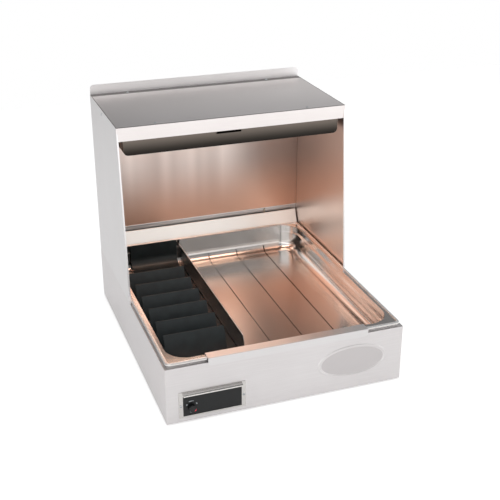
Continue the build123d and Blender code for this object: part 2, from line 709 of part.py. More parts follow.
def blanket_leads():
    """From the terminal block up through the insulation to the heating blanket."""
    start = plate_top + BLOCK_SIZE[2]
    over = start + BLANKET_LEAD_RISE
    near = block_y + BLANKET_LEAD_INSET
    points = [(block_x, near, start), (block_x, near, over), (blanket_lead_x, blanket_lead_y, over),
              (blanket_lead_x, blanket_lead_y, blanket_low)]
    return cable(points, [TIGHT_BEND, TIGHT_BEND])


# ---- pan and its inserts ----
def pan_outline(grow, drop, z0, z1):
    """The pan's inside, grown outward and stepped in by drop."""
    side = grow - drop
    return rounded(-pan_x - side, pan_x + side, pan_front - side, pan_rear + side, z0, z1, PAN_CORNER + side)


def food_pan():
    """Stepped steel pan with a rounded floor edge and a beaded flange."""
    step_z = rim_top - PAN_STEP_DEPTH
    lower = pan_outline(SHEET, PAN_STEP, pan_floor - SHEET, step_z)
    lower = fillet(lower.faces().sort_by(Axis.Z)[0].edges(), PAN_BOTTOM_ROUND + SHEET)
    hollow = pan_outline(0, PAN_STEP, pan_floor, step_z)
    hollow = fillet(hollow.faces().sort_by(Axis.Z)[0].edges(), PAN_BOTTOM_ROUND)
    pan = lower + pan_outline(SHEET, 0, step_z - SHEET, flat_top)
    under = BEAD_OVERLAP
    pan += rounded(-rim_x + under, rim_x - under, rim_front + under, rim_rear - under,
                   flat_top - SHEET, flat_top, RIM_CORNER - under)
    pan -= hollow
    pan -= pan_outline(0, 0, step_z, rim_top + PAST)
    bead = rounded(-rim_x, rim_x, rim_front, rim_rear, bead_low, rim_top, RIM_CORNER)
    bead = fillet(bead.faces().sort_by(Axis.Z)[-1].edges(), BEAD_ROUND)
    bead = fillet(bead.faces().sort_by(Axis.Z)[0].edges(), BEAD_UNDER_ROUND)
    edge = BEAD_WIDTH
    bead -= rounded(-rim_x + edge, rim_x - edge, rim_front + edge, rim_rear - edge,
                    bead_low - PAST, rim_top + PAST, BEAD_INNER_CORNER)
    return pan + bead


def pan_grip_lip():
    """Folded strip that hooks over the front of the rim and hangs on the front face."""
    left, right = GRIP_CENTRE - GRIP_WIDTH / 2, GRIP_CENTRE + GRIP_WIDTH / 2
    under = rim_top + FIT
    over = under + SHEET
    inner = pan_front + SHEET + FIT
    face = front_y - FIT * 2
    lip = block(left, right, face - SHEET, inner, under, over)
    lip += block(left, right, inner - SHEET, inner, flat_top - GRIP_HOOK, under)
    drop = block(left, right, face - SHEET, face, over - GRIP_DROP, over)
    low_edges = drop.edges().filter_by(Axis.Y).group_by(Axis.Z)[0]
    lip += fillet(low_edges, GRIP_ROUND)
    return fillet(lip.edges().filter_by(Axis.X).sort_by(lambda e: e.center().Z - e.center().Y)[-1:],
                  GRIP_BEND)


def divider():
    """Upright sheet between the two bays, with a foot under the ramp."""
    x0, x1 = divider_x - SHEET / 2, divider_x + SHEET / 2
    rear = pan_rear - PAN_STEP - DIVIDER_BACK_GAP
    high = insert_floor + DIVIDER_HEIGHT
    wall = block(x0, x1, insert_front, rear, insert_floor, high)
    upright = wall.edges().filter_by(Axis.X)
    wall = fillet(upright.group_by(Axis.Z)[-1].group_by(Axis.Y)[0], DIVIDER_ROUND)
    wall = fillet(wall.edges().filter_by(Axis.X).group_by(Axis.Z)[0].group_by(Axis.Y)[-1], PAN_BOTTOM_ROUND)
    return wall + block(x1, x1 + DIVIDER_FOOT, insert_front, rise_bend - FIT, insert_floor, insert_floor + SHEET)


def turned_up(x0, x1, front, low):
    """Level sheet whose rear edge bends up ahead of the pan's rear wall."""
    high = insert_floor + RAMP_HEIGHT
    with BuildPart() as sheet:
        with BuildSketch(Plane(origin=(x0, 0, 0), x_dir=(0, 1, 0), z_dir=(1, 0, 0))):
            with BuildLine():
                floor_low = Line((front, low), (rise_bend, low))
                outer = JernArc(floor_low @ 1, (1, 0), RAMP_BEND, 90)
                rise = Line(outer @ 1, (rise_back, high))
                cap = Line(rise @ 1, (rise_back - SHEET, high))
                fall = Line(cap @ 1, (rise_back - SHEET, low + RAMP_BEND))
                inner = JernArc(fall @ 1, (0, -1), RAMP_BEND - SHEET, -90)
                floor_high = Line(inner @ 1, (front, low + SHEET))
                Line(floor_high @ 1, (front, low))
            make_face()
        extrude(amount=x1 - x0)
    return sheet.part


def fry_ramp():
    """Slotted false floor of the chip bay, curved up at the back."""
    left = divider_x + SHEET / 2 + FIT
    low = insert_floor + SHEET
    body = turned_up(left, ramp_right, insert_front, low)
    body += block(ramp_right - SHEET, ramp_right, insert_front, rise_bend, insert_floor, low)
    slot_front, slot_rear = insert_front + RAMP_SLOT_END, rise_bend + RAMP_SLOT_RISE
    slot_x = left + RAMP_SLOT_PITCH
    while slot_x < ramp_right - RAMP_SLOT_END:
        slot = SlotOverall(slot_rear - slot_front, RAMP_SLOT_WIDTH)
        place = Pos(slot_x, (slot_rear + slot_front) / 2, low - PAST) * Rot(0, 0, 90)
        body -= extrude(place * slot, RAMP_BEND + PAST)
        slot_x += RAMP_SLOT_PITCH
    clip = Box(RAMP_CLIP * math.sqrt(2), RAMP_CLIP * 4, RAMP_HEIGHT * 3)
    return body - Pos(ramp_right, rise_back, low) * Rot(0, 0, -45) * clip


def rack_tray():
    """Coated tray that carries the bag plates: two folded legs, and a rear edge turned up like the ramp's."""
    low = insert_floor + RACK_LEG
    right = divider_x - SHEET / 2 - RACK_DIVIDER_GAP
    tray = block(rack_left, right, rack_front, rise_bend, low, low + SHEET)
    tray = fillet(tray.edges().filter_by(Axis.Z).group_by(Axis.X)[0], RACK_CORNER)
    leg_left = -pan_x + PAN_STEP + PAN_BOTTOM_ROUND + RACK_LEG_GAP
    for x in (leg_left, right - SHEET):
        tray += block(x, x + SHEET, rack_front + RACK_CORNER, rise_bend - RACK_CORNER, insert_floor, low)
    return tray + turned_up(rack_left + RACK_CORNER, right - RACK_RISE_GAP, rise_bend - RACK_CORNER, low)


def rack_plates():
    """Leaning plates that hold the bags upright."""
    low = insert_floor + RACK_LEG + SHEET
    high = low + RACK_PLATE_HEIGHT
    run = RACK_PLATE_HEIGHT * math.tan(math.radians(RACK_PLATE_LEAN))
    thick = SHEET / math.cos(math.radians(RACK_PLATE_LEAN))
    plates = []
    for index in range(RACK_PLATE_COUNT):
        y = pan_front + RACK_PLATE_START + index * RACK_PLATE_PITCH
        profile = [(y, low), (y + thick, low), (y + thick + run, high), (y + run, high)]
        plates.append(side_profile(profile, rack_left, divider_x - RACK_PLATE_GAP))
    return plates


# ---- hood ----
def front_edge_y(z):
    """Front edge of a hood side at a height."""
    share = (z - deck) / (top - LIP_FULL - deck)
    return hood_front_low + share * (hood_front_high - hood_front_low)


def hood_side(hand):
    """One side of the hood: hemmed front, foot fold and rear flange. hand is -1 left, 1 right."""
    shoulder = top - LIP_FULL - FIT
    behind_lip = hood_front_high + SHEET + FIT
    rear = hood_rear - SHEET - FIT
    panel = [(front_edge_y(deck), deck), (front_edge_y(shoulder), shoulder), (behind_lip, shoulder),
             (behind_lip, top_under), (rear, top_under), (rear, deck)]
    side = side_profile(panel, inner_w, half_w)
    hem = [(front_edge_y(deck), deck), (front_edge_y(shoulder), shoulder),
           (front_edge_y(shoulder) + SHEET, shoulder), (front_edge_y(deck) + SHEET, deck)]
    side += side_profile(hem, half_w - HEM, inner_w)
    foot_inner = well_x + RING_SIDE + CLEAR
    side += block(foot_inner, inner_w, hood_front_low + SIDE_FOOT_START, baffle_low_y - BAFFLE_SIDE_GAP,
                  deck, deck + SHEET)
    side += block(inner_w - FOLD, inner_w, rear - SHEET, rear, deck, top - 3 * SHEET)
    side -= rod(SCREW_HOLE, (inner_w - PAST, side_screw_y, side_screw_z),
                (half_w + PAST, side_screw_y, side_screw_z))
    for z in rear_screw_z:
        side -= rod(SCREW_HOLE, (rear_screw_x, rear - 2 * SHEET, z), (rear_screw_x, rear + PAST, z))
    return side if hand > 0 else mirror(side, about=Plane.YZ)


def hood_top():
    """Top sheet with its front lip, side folds and screw holes."""
    lip_front = hood_front_high
    rear = hood_rear - SHEET - FIT
    sheet = block(-half_w, half_w, lip_front, rear, top_under, top)
    sheet += block(-half_w, half_w, lip_front, lip_front + SHEET, top - LIP_FULL, top_under)
    lip_half = half_w - HEM - FIT
    sheet = fillet(sheet.edges().filter_by(Axis.X).sort_by(lambda e: e.center().Z - e.center().Y)[-1:], SHEET)
    sheet += block(-lip_half, lip_half, lip_front, lip_front + SHEET, lip_low, top - LIP_FULL)
    sheet += block(-lip_half, lip_half, lip_front + SHEET, lip_front + SHEET + LIP_RETURN, lip_low,
                   lip_low + SHEET)
    fold_front, fold_rear = lip_front + HEM, back_panel_front - PAST
    for hand in (-1, 1):
        inner, outer = hand * (inner_w - FIT - SHEET), hand * (inner_w - FIT)
        fold = block(inner, outer, fold_front, fold_rear, top_under - TOP_FOLD, top_under)
        fold -= rod(SCREW_HOLE, (outer - hand * 2 * SHEET, side_screw_y, side_screw_z),
                    (outer + hand * SHEET, side_screw_y, side_screw_z))
        sheet += fold
    for y in top_screw_y:
        for x in (-top_screw_x, top_screw_x):
            sheet -= rod(SCREW_HOLE, (x, y, top_under - PAST), (x, y, top + PAST))
    return sheet


def rear_rail():
    """Upstand along the back of the top, with rounded ends."""
    foot_z = top_under - SHEET
    half = half_w - RAIL_INSET
    leg = block(-half, half, hood_rear - SHEET, hood_rear, foot_z, top + RAIL_HEIGHT)
    leg = fillet(leg.edges().filter_by(Axis.Y).group_by(Axis.Z)[-1], RAIL_CORNER)
    half_foot = inner_w - FOLD - FIT
    rail = leg + block(-half_foot, half_foot, hood_rear - SHEET - RAIL_FOLD, hood_rear - SHEET, foot_z,
                       top_under)
    for x in (-top_screw_x, top_screw_x):
        rail -= rod(SCREW_HOLE, (x, top_screw_y[1], foot_z - PAST), (x, top_screw_y[1], top_under + PAST))
    return rail


def hood_rear_panel():
    high = top_under - SHEET - FIT
    panel = block(-half_w, half_w, hood_rear - SHEET, hood_rear, deck, high)
    half_fold = inner_w - FOLD - FIT
    panel += block(-half_fold, half_fold, hood_rear - SHEET - RAIL_FOLD, hood_rear - SHEET, high - SHEET,
                   high)
    for x in (-top_screw_x, top_screw_x):
        panel -= rod(SCREW_HOLE, (x, top_screw_y[1], high - 2 * SHEET), (x, top_screw_y[1], high + PAST))
    for x in (-rear_screw_x, rear_screw_x):
        for z in rear_screw_z:
            panel -= rod(SCREW_HOLE, (x, hood_rear - 2 * SHEET, z), (x, hood_rear + PAST, z))
    return panel


def hood_back_panel():
    """Polished back wall of the serving space, folded back at its edges."""
    low, high = deck + BACK_PANEL_LOW, top - BACK_PANEL_BELOW_TOP
    width = inner_w - FIT
    panel = block(-width, width, back_panel_front, back_panel_rear, low, high)
    panel += block(-width, width, back_panel_rear, back_panel_rear + BACK_PANEL_FOLD, low, low + SHEET)
    for x in (-width, width - SHEET):
        panel += block(x, x + SHEET, back_panel_rear, back_panel_rear + CAVITY - 2 * SHEET, low, high)
    left, right = lead_x - LEAD_NOTCH, lead_x + LEAD_NOTCH
    panel -= block(left, right, back_panel_front - PAST, back_panel_rear + CAVITY, high - LEAD_NOTCH_DROP,
                   high + PAST)
    return panel - block(left, right, back_panel_rear, back_panel_rear + CAVITY, low - PAST, low + 2 * SHEET)


def rear_baffle():
    """Bright deflector behind the pan: it stands on the deck, slopes back, and folds in under the back panel."""
    low_y = baffle_low_y
    high_y = back_panel_front - FIT - SHEET
    bend, high = deck + BAFFLE_BEND, deck + BAFFLE_HEIGHT
    profile = [(low_y, deck), (low_y, bend), (high_y, high), (back_panel_rear, high),
               (back_panel_rear, high - SHEET), (high_y + SHEET, high - SHEET), (low_y + SHEET, bend),
               (low_y + SHEET, deck + SHEET), (high_y + SHEET, deck + SHEET), (high_y + SHEET, deck)]
    reach = inner_w - BAFFLE_END_GAP
    return side_profile(profile, -reach, reach)


def top_screws():
    length = 3 * SHEET + SCREW_PAST
    return [screw((x, y, top), (0, 0, 1), length) for y in top_screw_y for x in (-top_screw_x, top_screw_x)]


def side_screws():
    return [screw((hand * half_w, side_screw_y, side_screw_z), (hand, 0, 0),
                  2 * SHEET + SCREW_PAST) for hand in (-1, 1)]


def rear_screws():
    places = [(hand * rear_screw_x, hood_rear, z) for hand in (-1, 1) for z in rear_screw_z]
    return [screw(place, (0, 1, 0), 2 * SHEET + SCREW_PAST) for place in places]


def bezel_screws():
    return [screw((x, front_y - SHEET, panel_z), (0, -1, 0), 3 * SHEET + SCREW_PAST) for x in bezel_screw_x]


# ---- overhead heater ----
def housing_shape(inset, y0, y1):
    """The housing's cross-section, rounded at its two lower corners."""
    plane = Plane(origin=(0, y0, (housing_low + housing_top) / 2), x_dir=(1, 0, 0), z_dir=(0, 1, 0))
    body = extrude(plane * Rectangle(2 * (housing_x - inset), HOUSING_HEIGHT - 2 * inset), y1 - y0)
    return fillet(body.edges().filter_by(Axis.Y).group_by(Axis.Z)[0], HOUSING_CORNER - inset)


def heater_housing():
    """Open-bottomed trough that hangs under the top, behind the lip."""
    wall = SHEET
    body = housing_shape(0, housing_front, housing_rear)
    body -= housing_shape(wall, housing_front + wall, housing_rear - wall)
    half = housing_x - HOUSING_CORNER
    body -= block(-half, half, housing_front + HOUSING_HEM, housing_rear - HOUSING_HEM,
                  housing_low - PAST, housing_low + wall)
    body += block(-housing_x, housing_x, housing_front, housing_front + wall, housing_top - PAST, top_under)
    body += block(-housing_x, housing_x, housing_front, housing_front + FOLD, top_under - SHEET, top_under)
    body -= front_slot(SLOT_LENGTH, SLOT_HEIGHT, SLOT_X, lip_low - SLOT_BELOW_LIP,
                       housing_front - PAST, housing_front + wall)
    for x in (-top_screw_x, top_screw_x):
        body -= rod(SCREW_HOLE, (x, top_screw_y[0], top_under - 2 * SHEET),
                    (x, top_screw_y[0], top_under + PAST))
    return body - rod(LEAD_RADIUS + LEAD_HOLE, (element_end, housing_mid, housing_top - 2 * SHEET),
                      (element_end, housing_mid, housing_top + PAST))


def housing_hangers():
    """Z brackets that hold the housing's rear under the top."""
    hangers = []
    y = housing_rear - HANGER_AHEAD
    half = HANGER_WIDTH / 2
    for x in (-top_screw_x, top_screw_x):
        web = block(x - half, x + half, y, y + SHEET, housing_top, top_under)
        foot = block(x - half, x + half, y - HANGER_FOOT, y, housing_top, housing_top + SHEET)
        head = block(x - half, x + half, y + SHEET, y + SHEET + HANGER_HEAD, top_under - SHEET, top_under)
        hangers.append(web + foot + head)
    return hangers


def wire_guard():
    """Welded wires across the mouth of the housing."""
    reach = reflector_x - GUARD_SIDE_GAP
    rail_z = guard_z + GUARD_WIRE * GUARD_SINK
    guard = rod(GUARD_WIRE, (-reach, housing_mid, rail_z), (reach, housing_mid, rail_z))
    for offset in (-GUARD_RAIL, GUARD_RAIL):
        guard += rod(GUARD_WIRE, (-reach, housing_mid + offset, rail_z),
                     (reach, housing_mid + offset, rail_z))
    x = -reach + 2 * GUARD_WIRE
    while x < reach:
        guard += rod(GUARD_WIRE, (x, guard_front, guard_z), (x, guard_rear, guard_z))
        x += GUARD_PITCH
    return guard


def reflector():
    """Polished trough over the element, resting on the guard's wires."""
    low = guard_z + GUARD_WIRE + REST_PLAY
    near, far = guard_front, guard_rear
    flat, slope = REFLECTOR_FLAT, REFLECTOR_SLOPE
    sheet = REFLECTOR_SHEET
    shift = sheet * REFLECTOR_SKEW
    upper = [(near, low + sheet), (near + flat, low + sheet), (near + flat + slope, reflector_high),
             (far - flat - slope, reflector_high), (far - flat, low + sheet), (far, low + sheet)]
    lower = [(far, low), (far - flat - shift, low), (far - flat - slope - shift, reflector_high - sheet),
             (near + flat + slope + shift, reflector_high - sheet), (near + flat + shift, low), (near, low)]
    return side_profile(upper + lower, -reflector_x, reflector_x)


def heater_element():
    """Sheathed hairpin element."""
    near, far = element_legs
    with BuildPart() as part:
        with BuildLine() as path:
            first = Line((element_end, near, element_z), (element_bend, near, element_z))
            JernArc(first @ 1, (1, 0, 0), ELEMENT_PITCH / 2, 180)
            Line((element_bend, far, element_z), (element_end, far, element_z))
        with BuildSketch(Plane(origin=(element_end, near, element_z), z_dir=(1, 0, 0))):
            Circle(ELEMENT_RADIUS)
        sweep(path=path.line)
    return part.part


def element_insulators():
    """Ceramic bushes that carry the element's cold ends."""
    bushes = []
    near, far = bracket_x - INSULATOR_LENGTH / 2, bracket_x + INSULATOR_LENGTH / 2
    collar = bracket_x + SHEET
    for y in element_legs:
        bush = rod(INSULATOR_RADIUS, (near, y, element_z), (far, y, element_z))
        bush += rod(INSULATOR_RADIUS + INSULATOR_COLLAR, (collar, y, element_z),
                    (collar + INSULATOR_COLLAR, y, element_z))
        bush -= rod(ELEMENT_RADIUS + REST_PLAY, (near - PAST, y, element_z), (far + PAST, y, element_z))
        bushes.append(bush)
    return bushes


def element_bracket():
    """Plate inside the housing that holds the ceramic bushes."""
    near, far = element_legs
    plate = block(bracket_x, bracket_x + SHEET, near - ELEMENT_BRACKET_MARGIN, far + ELEMENT_BRACKET_MARGIN,
                  element_z - ELEMENT_BRACKET_DROP, housing_top - SHEET)
    hole = INSULATOR_RADIUS + ELEMENT_PLAY
    for y in element_legs:
        plate -= rod(hole, (bracket_x - PAST, y, element_z), (bracket_x + SHEET + PAST, y, element_z))
    return plate


def element_supports():
    """Hanger plates under the reflector that steady the element."""
    low = element_z - ELEMENT_RADIUS - ELEMENT_SUPPORT_DROP
    near, far = element_legs
    plates = []
    for x in ELEMENT_SUPPORTS:
        plate = block(x, x + SHEET, near - ELEMENT_SUPPORT_MARGIN, far + ELEMENT_SUPPORT_MARGIN,
                      low, reflector_high - REFLECTOR_SHEET)
        for y in element_legs:
            plate -= rod(ELEMENT_RADIUS + ELEMENT_PLAY, (x - PAST, y, element_z),
                         (x + SHEET + PAST, y, element_z))
        plates.append(plate)
    return plates


# ---- build ----
save("base_shell", base_shell())
save("base_rear_panel", base_rear_panel())
save("base_bottom_plate", base_bottom_plate())
save("rubber_feet", *rubber_feet())
save("well_liner", well_liner())
save("heating_blanket", heating_blanket())
save("insulation_slab", insulation_slab())
save("insulation_tray", insulation_tray())
save("control_plate", control_plate())
save("control_bezel", control_bezel())
save("bezel_screws", *bezel_screws())
save("control_bracket", control_bracket())
save("heat_control", heat_control())
save("control_knob", control_knob())
save("control_spindle", control_spindle())
save("indicator_lens", indicator_lens())
save("indicator_lamp", indicator_lamp())
save("cord_gland", cord_gland())
save("gland_nut", gland_nut())
save("terminal_block", terminal_block())
save("control_leads", control_leads())
save("heater_leads", heater_leads())
save("blanket_leads", blanket_leads())
save("food_pan", food_pan())
save("pan_grip_lip", pan_grip_lip())
save("divider", divider())
save("fry_ramp", fry_ramp())
save("rack_tray", rack_tray())
save("rack_plates", *rack_plates())
save("hood_side_left", hood_side(-1))
save("hood_side_right", hood_side(1))
save("hood_top", hood_top())
save("rear_rail", rear_rail())
save("hood_rear_panel", hood_rear_panel())
save("hood_back_panel", hood_back_panel())
save("rear_baffle", rear_baffle())
save("top_screws", *top_screws())
save("side_screws", *side_screws())
save("rear_screws", *rear_screws())
save("heater_housing", heater_housing())
save("housing_hangers", *housing_hangers())
save("wire_guard", wire_guard())
save("reflector", reflector())
save("heater_element", heater_element())
save("element_insulators", *element_insulators())
save("element_bracket", element_bracket())
save("element_supports", *element_supports())
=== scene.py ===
import json
import math

import bmesh
import bpy
import numpy as np
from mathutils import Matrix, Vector


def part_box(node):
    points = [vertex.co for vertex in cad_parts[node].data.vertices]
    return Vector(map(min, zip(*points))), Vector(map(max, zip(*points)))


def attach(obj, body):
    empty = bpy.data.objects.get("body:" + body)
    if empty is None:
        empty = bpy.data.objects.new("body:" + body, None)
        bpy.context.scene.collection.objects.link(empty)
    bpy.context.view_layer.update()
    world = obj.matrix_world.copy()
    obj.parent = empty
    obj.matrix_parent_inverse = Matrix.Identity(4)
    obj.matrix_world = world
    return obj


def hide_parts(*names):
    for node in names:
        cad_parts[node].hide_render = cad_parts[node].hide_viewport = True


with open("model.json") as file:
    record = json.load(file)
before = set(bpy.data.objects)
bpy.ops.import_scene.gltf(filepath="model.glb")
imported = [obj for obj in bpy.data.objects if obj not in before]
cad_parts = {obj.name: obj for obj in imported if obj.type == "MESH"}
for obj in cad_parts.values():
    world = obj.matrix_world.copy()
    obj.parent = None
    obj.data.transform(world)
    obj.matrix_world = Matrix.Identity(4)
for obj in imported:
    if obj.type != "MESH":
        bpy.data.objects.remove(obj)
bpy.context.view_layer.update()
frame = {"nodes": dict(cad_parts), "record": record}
slot_of = {part["node"]: part["material_slot"] for part in frame["record"]["subparts"]}
body_of = {node: body for body, nodes in frame["record"]["behaviour"]["bodies"].items()
           for node in nodes}

MM = 0.001

# ---- camera ----
CAMERA_PLACE = (-0.6664, -1.9293, 1.1685)
CAMERA_YAW = -0.3450     # radians, towards the object's right
CAMERA_PITCH = 0.4315    # radians below the horizon
CAMERA_LENS = 67.65
CAMERA_SENSOR = 36


def make_camera():
    data = bpy.data.cameras.new("camera")
    data.sensor_width = CAMERA_SENSOR
    data.lens = CAMERA_LENS
    camera = bpy.data.objects.new("camera", data)
    bpy.context.scene.collection.objects.link(camera)
    level = math.cos(CAMERA_PITCH)
    ahead = Vector((-math.sin(CAMERA_YAW) * level, math.cos(CAMERA_YAW) * level,
                    -math.sin(CAMERA_PITCH)))
    camera.location = CAMERA_PLACE
    camera.rotation_euler = ahead.to_track_quat("-Z", "Y").to_euler()
    bpy.context.scene.camera = camera


make_camera()


# ---- materials ----
def linear(code):
    """Turns an sRGB hex value into a linear colour."""
    channels = [int(code[i:i + 2], 16) / 255 for i in (1, 3, 5)]
    return tuple(c / 12.92 if c <= 0.04045 else ((c + 0.055) / 1.055) ** 2.4
                 for c in channels) + (1.0,)


def add(tree, kind, inputs=None, **settings):
    """Adds a node with its settings, and gives each input a value, a link from an output, or a
    link from the first output of a node."""
    made = tree.nodes.new(kind)
    for name, value in settings.items():
        setattr(made, name, value)
    for key, value in (inputs or {}).items():
        if isinstance(value, bpy.types.Node):
            value = value.outputs[0]
        if isinstance(value, bpy.types.NodeSocket):
            tree.links.new(value, made.inputs[key])
        else:
            made.inputs[key].default_value = value
    return made


def new_material(name):
    """A material and its tree, emptied."""
    made = bpy.data.materials.new(name)
    made.use_nodes = True
    made.node_tree.nodes.clear()
    return made, made.node_tree


# Noise runs from 0 to 1, mostly near 0.5. Smudges and swells are counted to a metre.
FACING = 0.7             # a face looks along an axis where its normal's share of it is over this
GRAIN_DETAIL = 3.0
GRAIN_BREAK_UP = 0.6     # how much of the finer noise there is in a grain
SMUDGES = 9.0            # marks of handling, about 110 mm across
SMUDGE_DETAIL = 4.0
SMUDGE_BREAK_UP = 0.55
SWELLS = 5.5             # slow waves of a sheet, about 180 mm across
TINT_BY_GRAIN = 0.45     # how far the grain and the smudges move a sheet from dark to light
TINT_BY_SMUDGES = 0.45
TINT_START = 0.275
ROUGH_BY_DEPTH = 12      # roughness that a grain's lines add and take, for each millimetre deep
ETCHED_MATT = 0.16       # roughness added by etching
HIGHLIGHT_MATT = 0.28         # roughness added along a painted highlight
# white of a painted highlight
HIGHLIGHT_TINT = "#FFFFFF"
JOINT_FULL = 0.4         # share of a painted joint shadow's line that is fully dark
# Columns are painted reflections: upright bands of painted light and shade on a sheet.
COLUMN_LENGTH = 3000
COLUMN_DETAIL = 0.6
COLUMN_NOISE = (0.3, 0.7)
COLUMN_SHARE = 0.6       # most of the painted shade tint that a column has


def grain(tree, place, length, width, along, detail=GRAIN_DETAIL):
    """Noise drawn out along one axis: a grain line is length long and width wide, in
    millimetres."""
    scale = [1 / (width * MM)] * 3
    scale["XYZ".index(along)] = 1 / (length * MM)
    stretched = add(tree, "ShaderNodeMapping", {"Vector": place, "Scale": scale})
    return add(tree, "ShaderNodeTexNoise", {"Vector": stretched, "Scale": 1.0, "Detail": detail,
                                            "Roughness": GRAIN_BREAK_UP})


# Each zone gives its share over a sheet, from 0 to 1, its tint, and the roughness it adds.
# spot holds the sheet's tree and what it reads of the surface.
def painted_reflection_columns(spot, width, left, full, fading, right, end_shade):
    """Painted reflections drawn up into upright bands, width millimetres wide, on a sheet with
    painted shade towards its ends. The share of the painted shade tint is the most of three:
    noise drawn out upwards, a smooth fall from x = left to full, and a smooth rise from fading
    to right."""
    tree = spot["tree"]
    drawn_up = grain(tree, spot["place"], COLUMN_LENGTH, width, "Z", COLUMN_DETAIL)
    bands = add(tree, "ShaderNodeMapRange", {
        "Value": drawn_up, "From Min": COLUMN_NOISE[0], "From Max": COLUMN_NOISE[1],
        "To Min": 0.0, "To Max": COLUMN_SHARE})
    near = add(tree, "ShaderNodeMapRange", {
        "Value": spot["X"], "From Min": left, "From Max": full, "To Min": 1.0, "To Max": 0.0},
        interpolation_type="SMOOTHSTEP")
    far = add(tree, "ShaderNodeMapRange", {
        "Value": spot["X"], "From Min": fading, "From Max": right},
        interpolation_type="SMOOTHSTEP")
    ends = add(tree, "ShaderNodeMath", {0: near, 1: far}, operation="MAXIMUM")
    share = add(tree, "ShaderNodeMath", {0: ends, 1: bands}, operation="MAXIMUM")
    return share, linear(end_shade), 0.0


def painted_top_shade(spot, front, rear, shade_over_heater):
    """Painted shade on a top, over the heater: 1 just behind y = front, falling evenly to 0 at
    rear, and 0 on the lip before front."""
    tree = spot["tree"]
    fade = add(tree, "ShaderNodeMapRange", {
        "Value": spot["Y"], "From Min": front, "From Max": rear, "To Min": 1.0, "To Max": 0.0})
    behind_lip = add(tree, "ShaderNodeMath", {0: spot["Y"], 1: front}, operation="GREATER_THAN")
    share = add(tree, "ShaderNodeMath", {0: fade, 1: behind_lip}, operation="MULTIPLY")
    return share, linear(shade_over_heater), 0.0


def lower_band(spot, low, high, low_tint):
    """A band tinted towards the bottom: 1 up to z = low, falling smoothly to 0 at high."""
    share = add(spot["tree"], "ShaderNodeMapRange", {
        "Value": spot["Z"], "From Min": low, "From Max": high, "To Min": 1.0, "To Max": 0.0},
        interpolation_type="SMOOTHSTEP")
    return share, linear(low_tint), 0.0


def painted_inner_shade(spot, edge, rear, front, shaded_rear_tint, lit_front_tint):
    """Painted shade and light on side faces nearer than edge to the middle: the tint runs evenly
    from painted shade at y = rear to painted warm light at front."""
    tree = spot["tree"]
    forward = add(tree, "ShaderNodeMapRange", {
        "Value": spot["Y"], "From Min": rear, "From Max": front})
    warm = add(tree, "ShaderNodeMix", {
        0: forward, 6: linear(shaded_rear_tint), 7: linear(lit_front_tint)}, data_type="RGBA")
    away = add(tree, "ShaderNodeMath", {0: spot["X"]}, operation="ABSOLUTE")
    nearer = add(tree, "ShaderNodeMath", {0: away, 1: edge}, operation="LESS_THAN")
    share = add(tree, "ShaderNodeMath", {0: nearer, 1: spot["side face"]}, operation="MULTIPLY")
    return share, warm.outputs[2], 0.0


def etched_oval(spot, x, z, half_width, half_height, etched):
    """A matt oval round (x, z): the points where the squares of (px - x) / half_width, py and
    (pz - z) / half_height add up to less than 1, with p the point in metres."""
    tree = spot["tree"]
    offset = add(tree, "ShaderNodeVectorMath", {0: spot["place"], 1: (x, 0, z)},
                 operation="SUBTRACT")
    shares = add(tree, "ShaderNodeVectorMath", {0: offset, 1: (half_width, 1, half_height)},
                 operation="DIVIDE")
    reach = add(tree, "ShaderNodeVectorMath", {0: shares}, operation="LENGTH")
    share = add(tree, "ShaderNodeMath", {0: reach.outputs["Value"], 1: 1.0},
                operation="LESS_THAN")
    return share, linear(etched), ETCHED_MATT


def painted_joint_shadows(spot, side, front, rear, width, shadow_line):
    """Painted shadow lines at the joints round an upward face: lines width wide at x = side and
    -side, and twice that at y = front and rear. Each rises evenly and is 1 in the part nearest
    its joint."""
    tree = spot["tree"]
    away = add(tree, "ShaderNodeMath", {0: spot["X"]}, operation="ABSOLUTE")
    by_side, by_front, by_rear = (add(tree, "ShaderNodeMapRange", {
        "Value": value, "From Min": joint + inwards, "From Max": joint + JOINT_FULL * inwards})
        for value, joint, inwards in (
            (away, side, -width), (spot["Y"], front, 2 * width), (spot["Y"], rear, -2 * width)))
    ends = add(tree, "ShaderNodeMath", {0: by_front, 1: by_rear}, operation="MAXIMUM")
    near = add(tree, "ShaderNodeMath", {0: ends, 1: by_side}, operation="MAXIMUM")
    top_face = add(tree, "ShaderNodeMath", {0: spot["facing"].outputs["Z"], 1: FACING},
                   operation="GREATER_THAN")
    share = add(tree, "ShaderNodeMath", {0: near, 1: top_face}, operation="MULTIPLY")
    return share, linear(shadow_line), 0.0


def painted_highlight_edge(spot, axis, off, full):
    """A painted highlight along an edge or a bead's top, with added roughness: the share rises
    evenly from 0 at off to 1 at full, along the axis."""
    share = add(spot["tree"], "ShaderNodeMapRange", {
        "Value": spot[axis], "From Min": off, "From Max": full})
    return share, linear(HIGHLIGHT_TINT), HIGHLIGHT_MATT


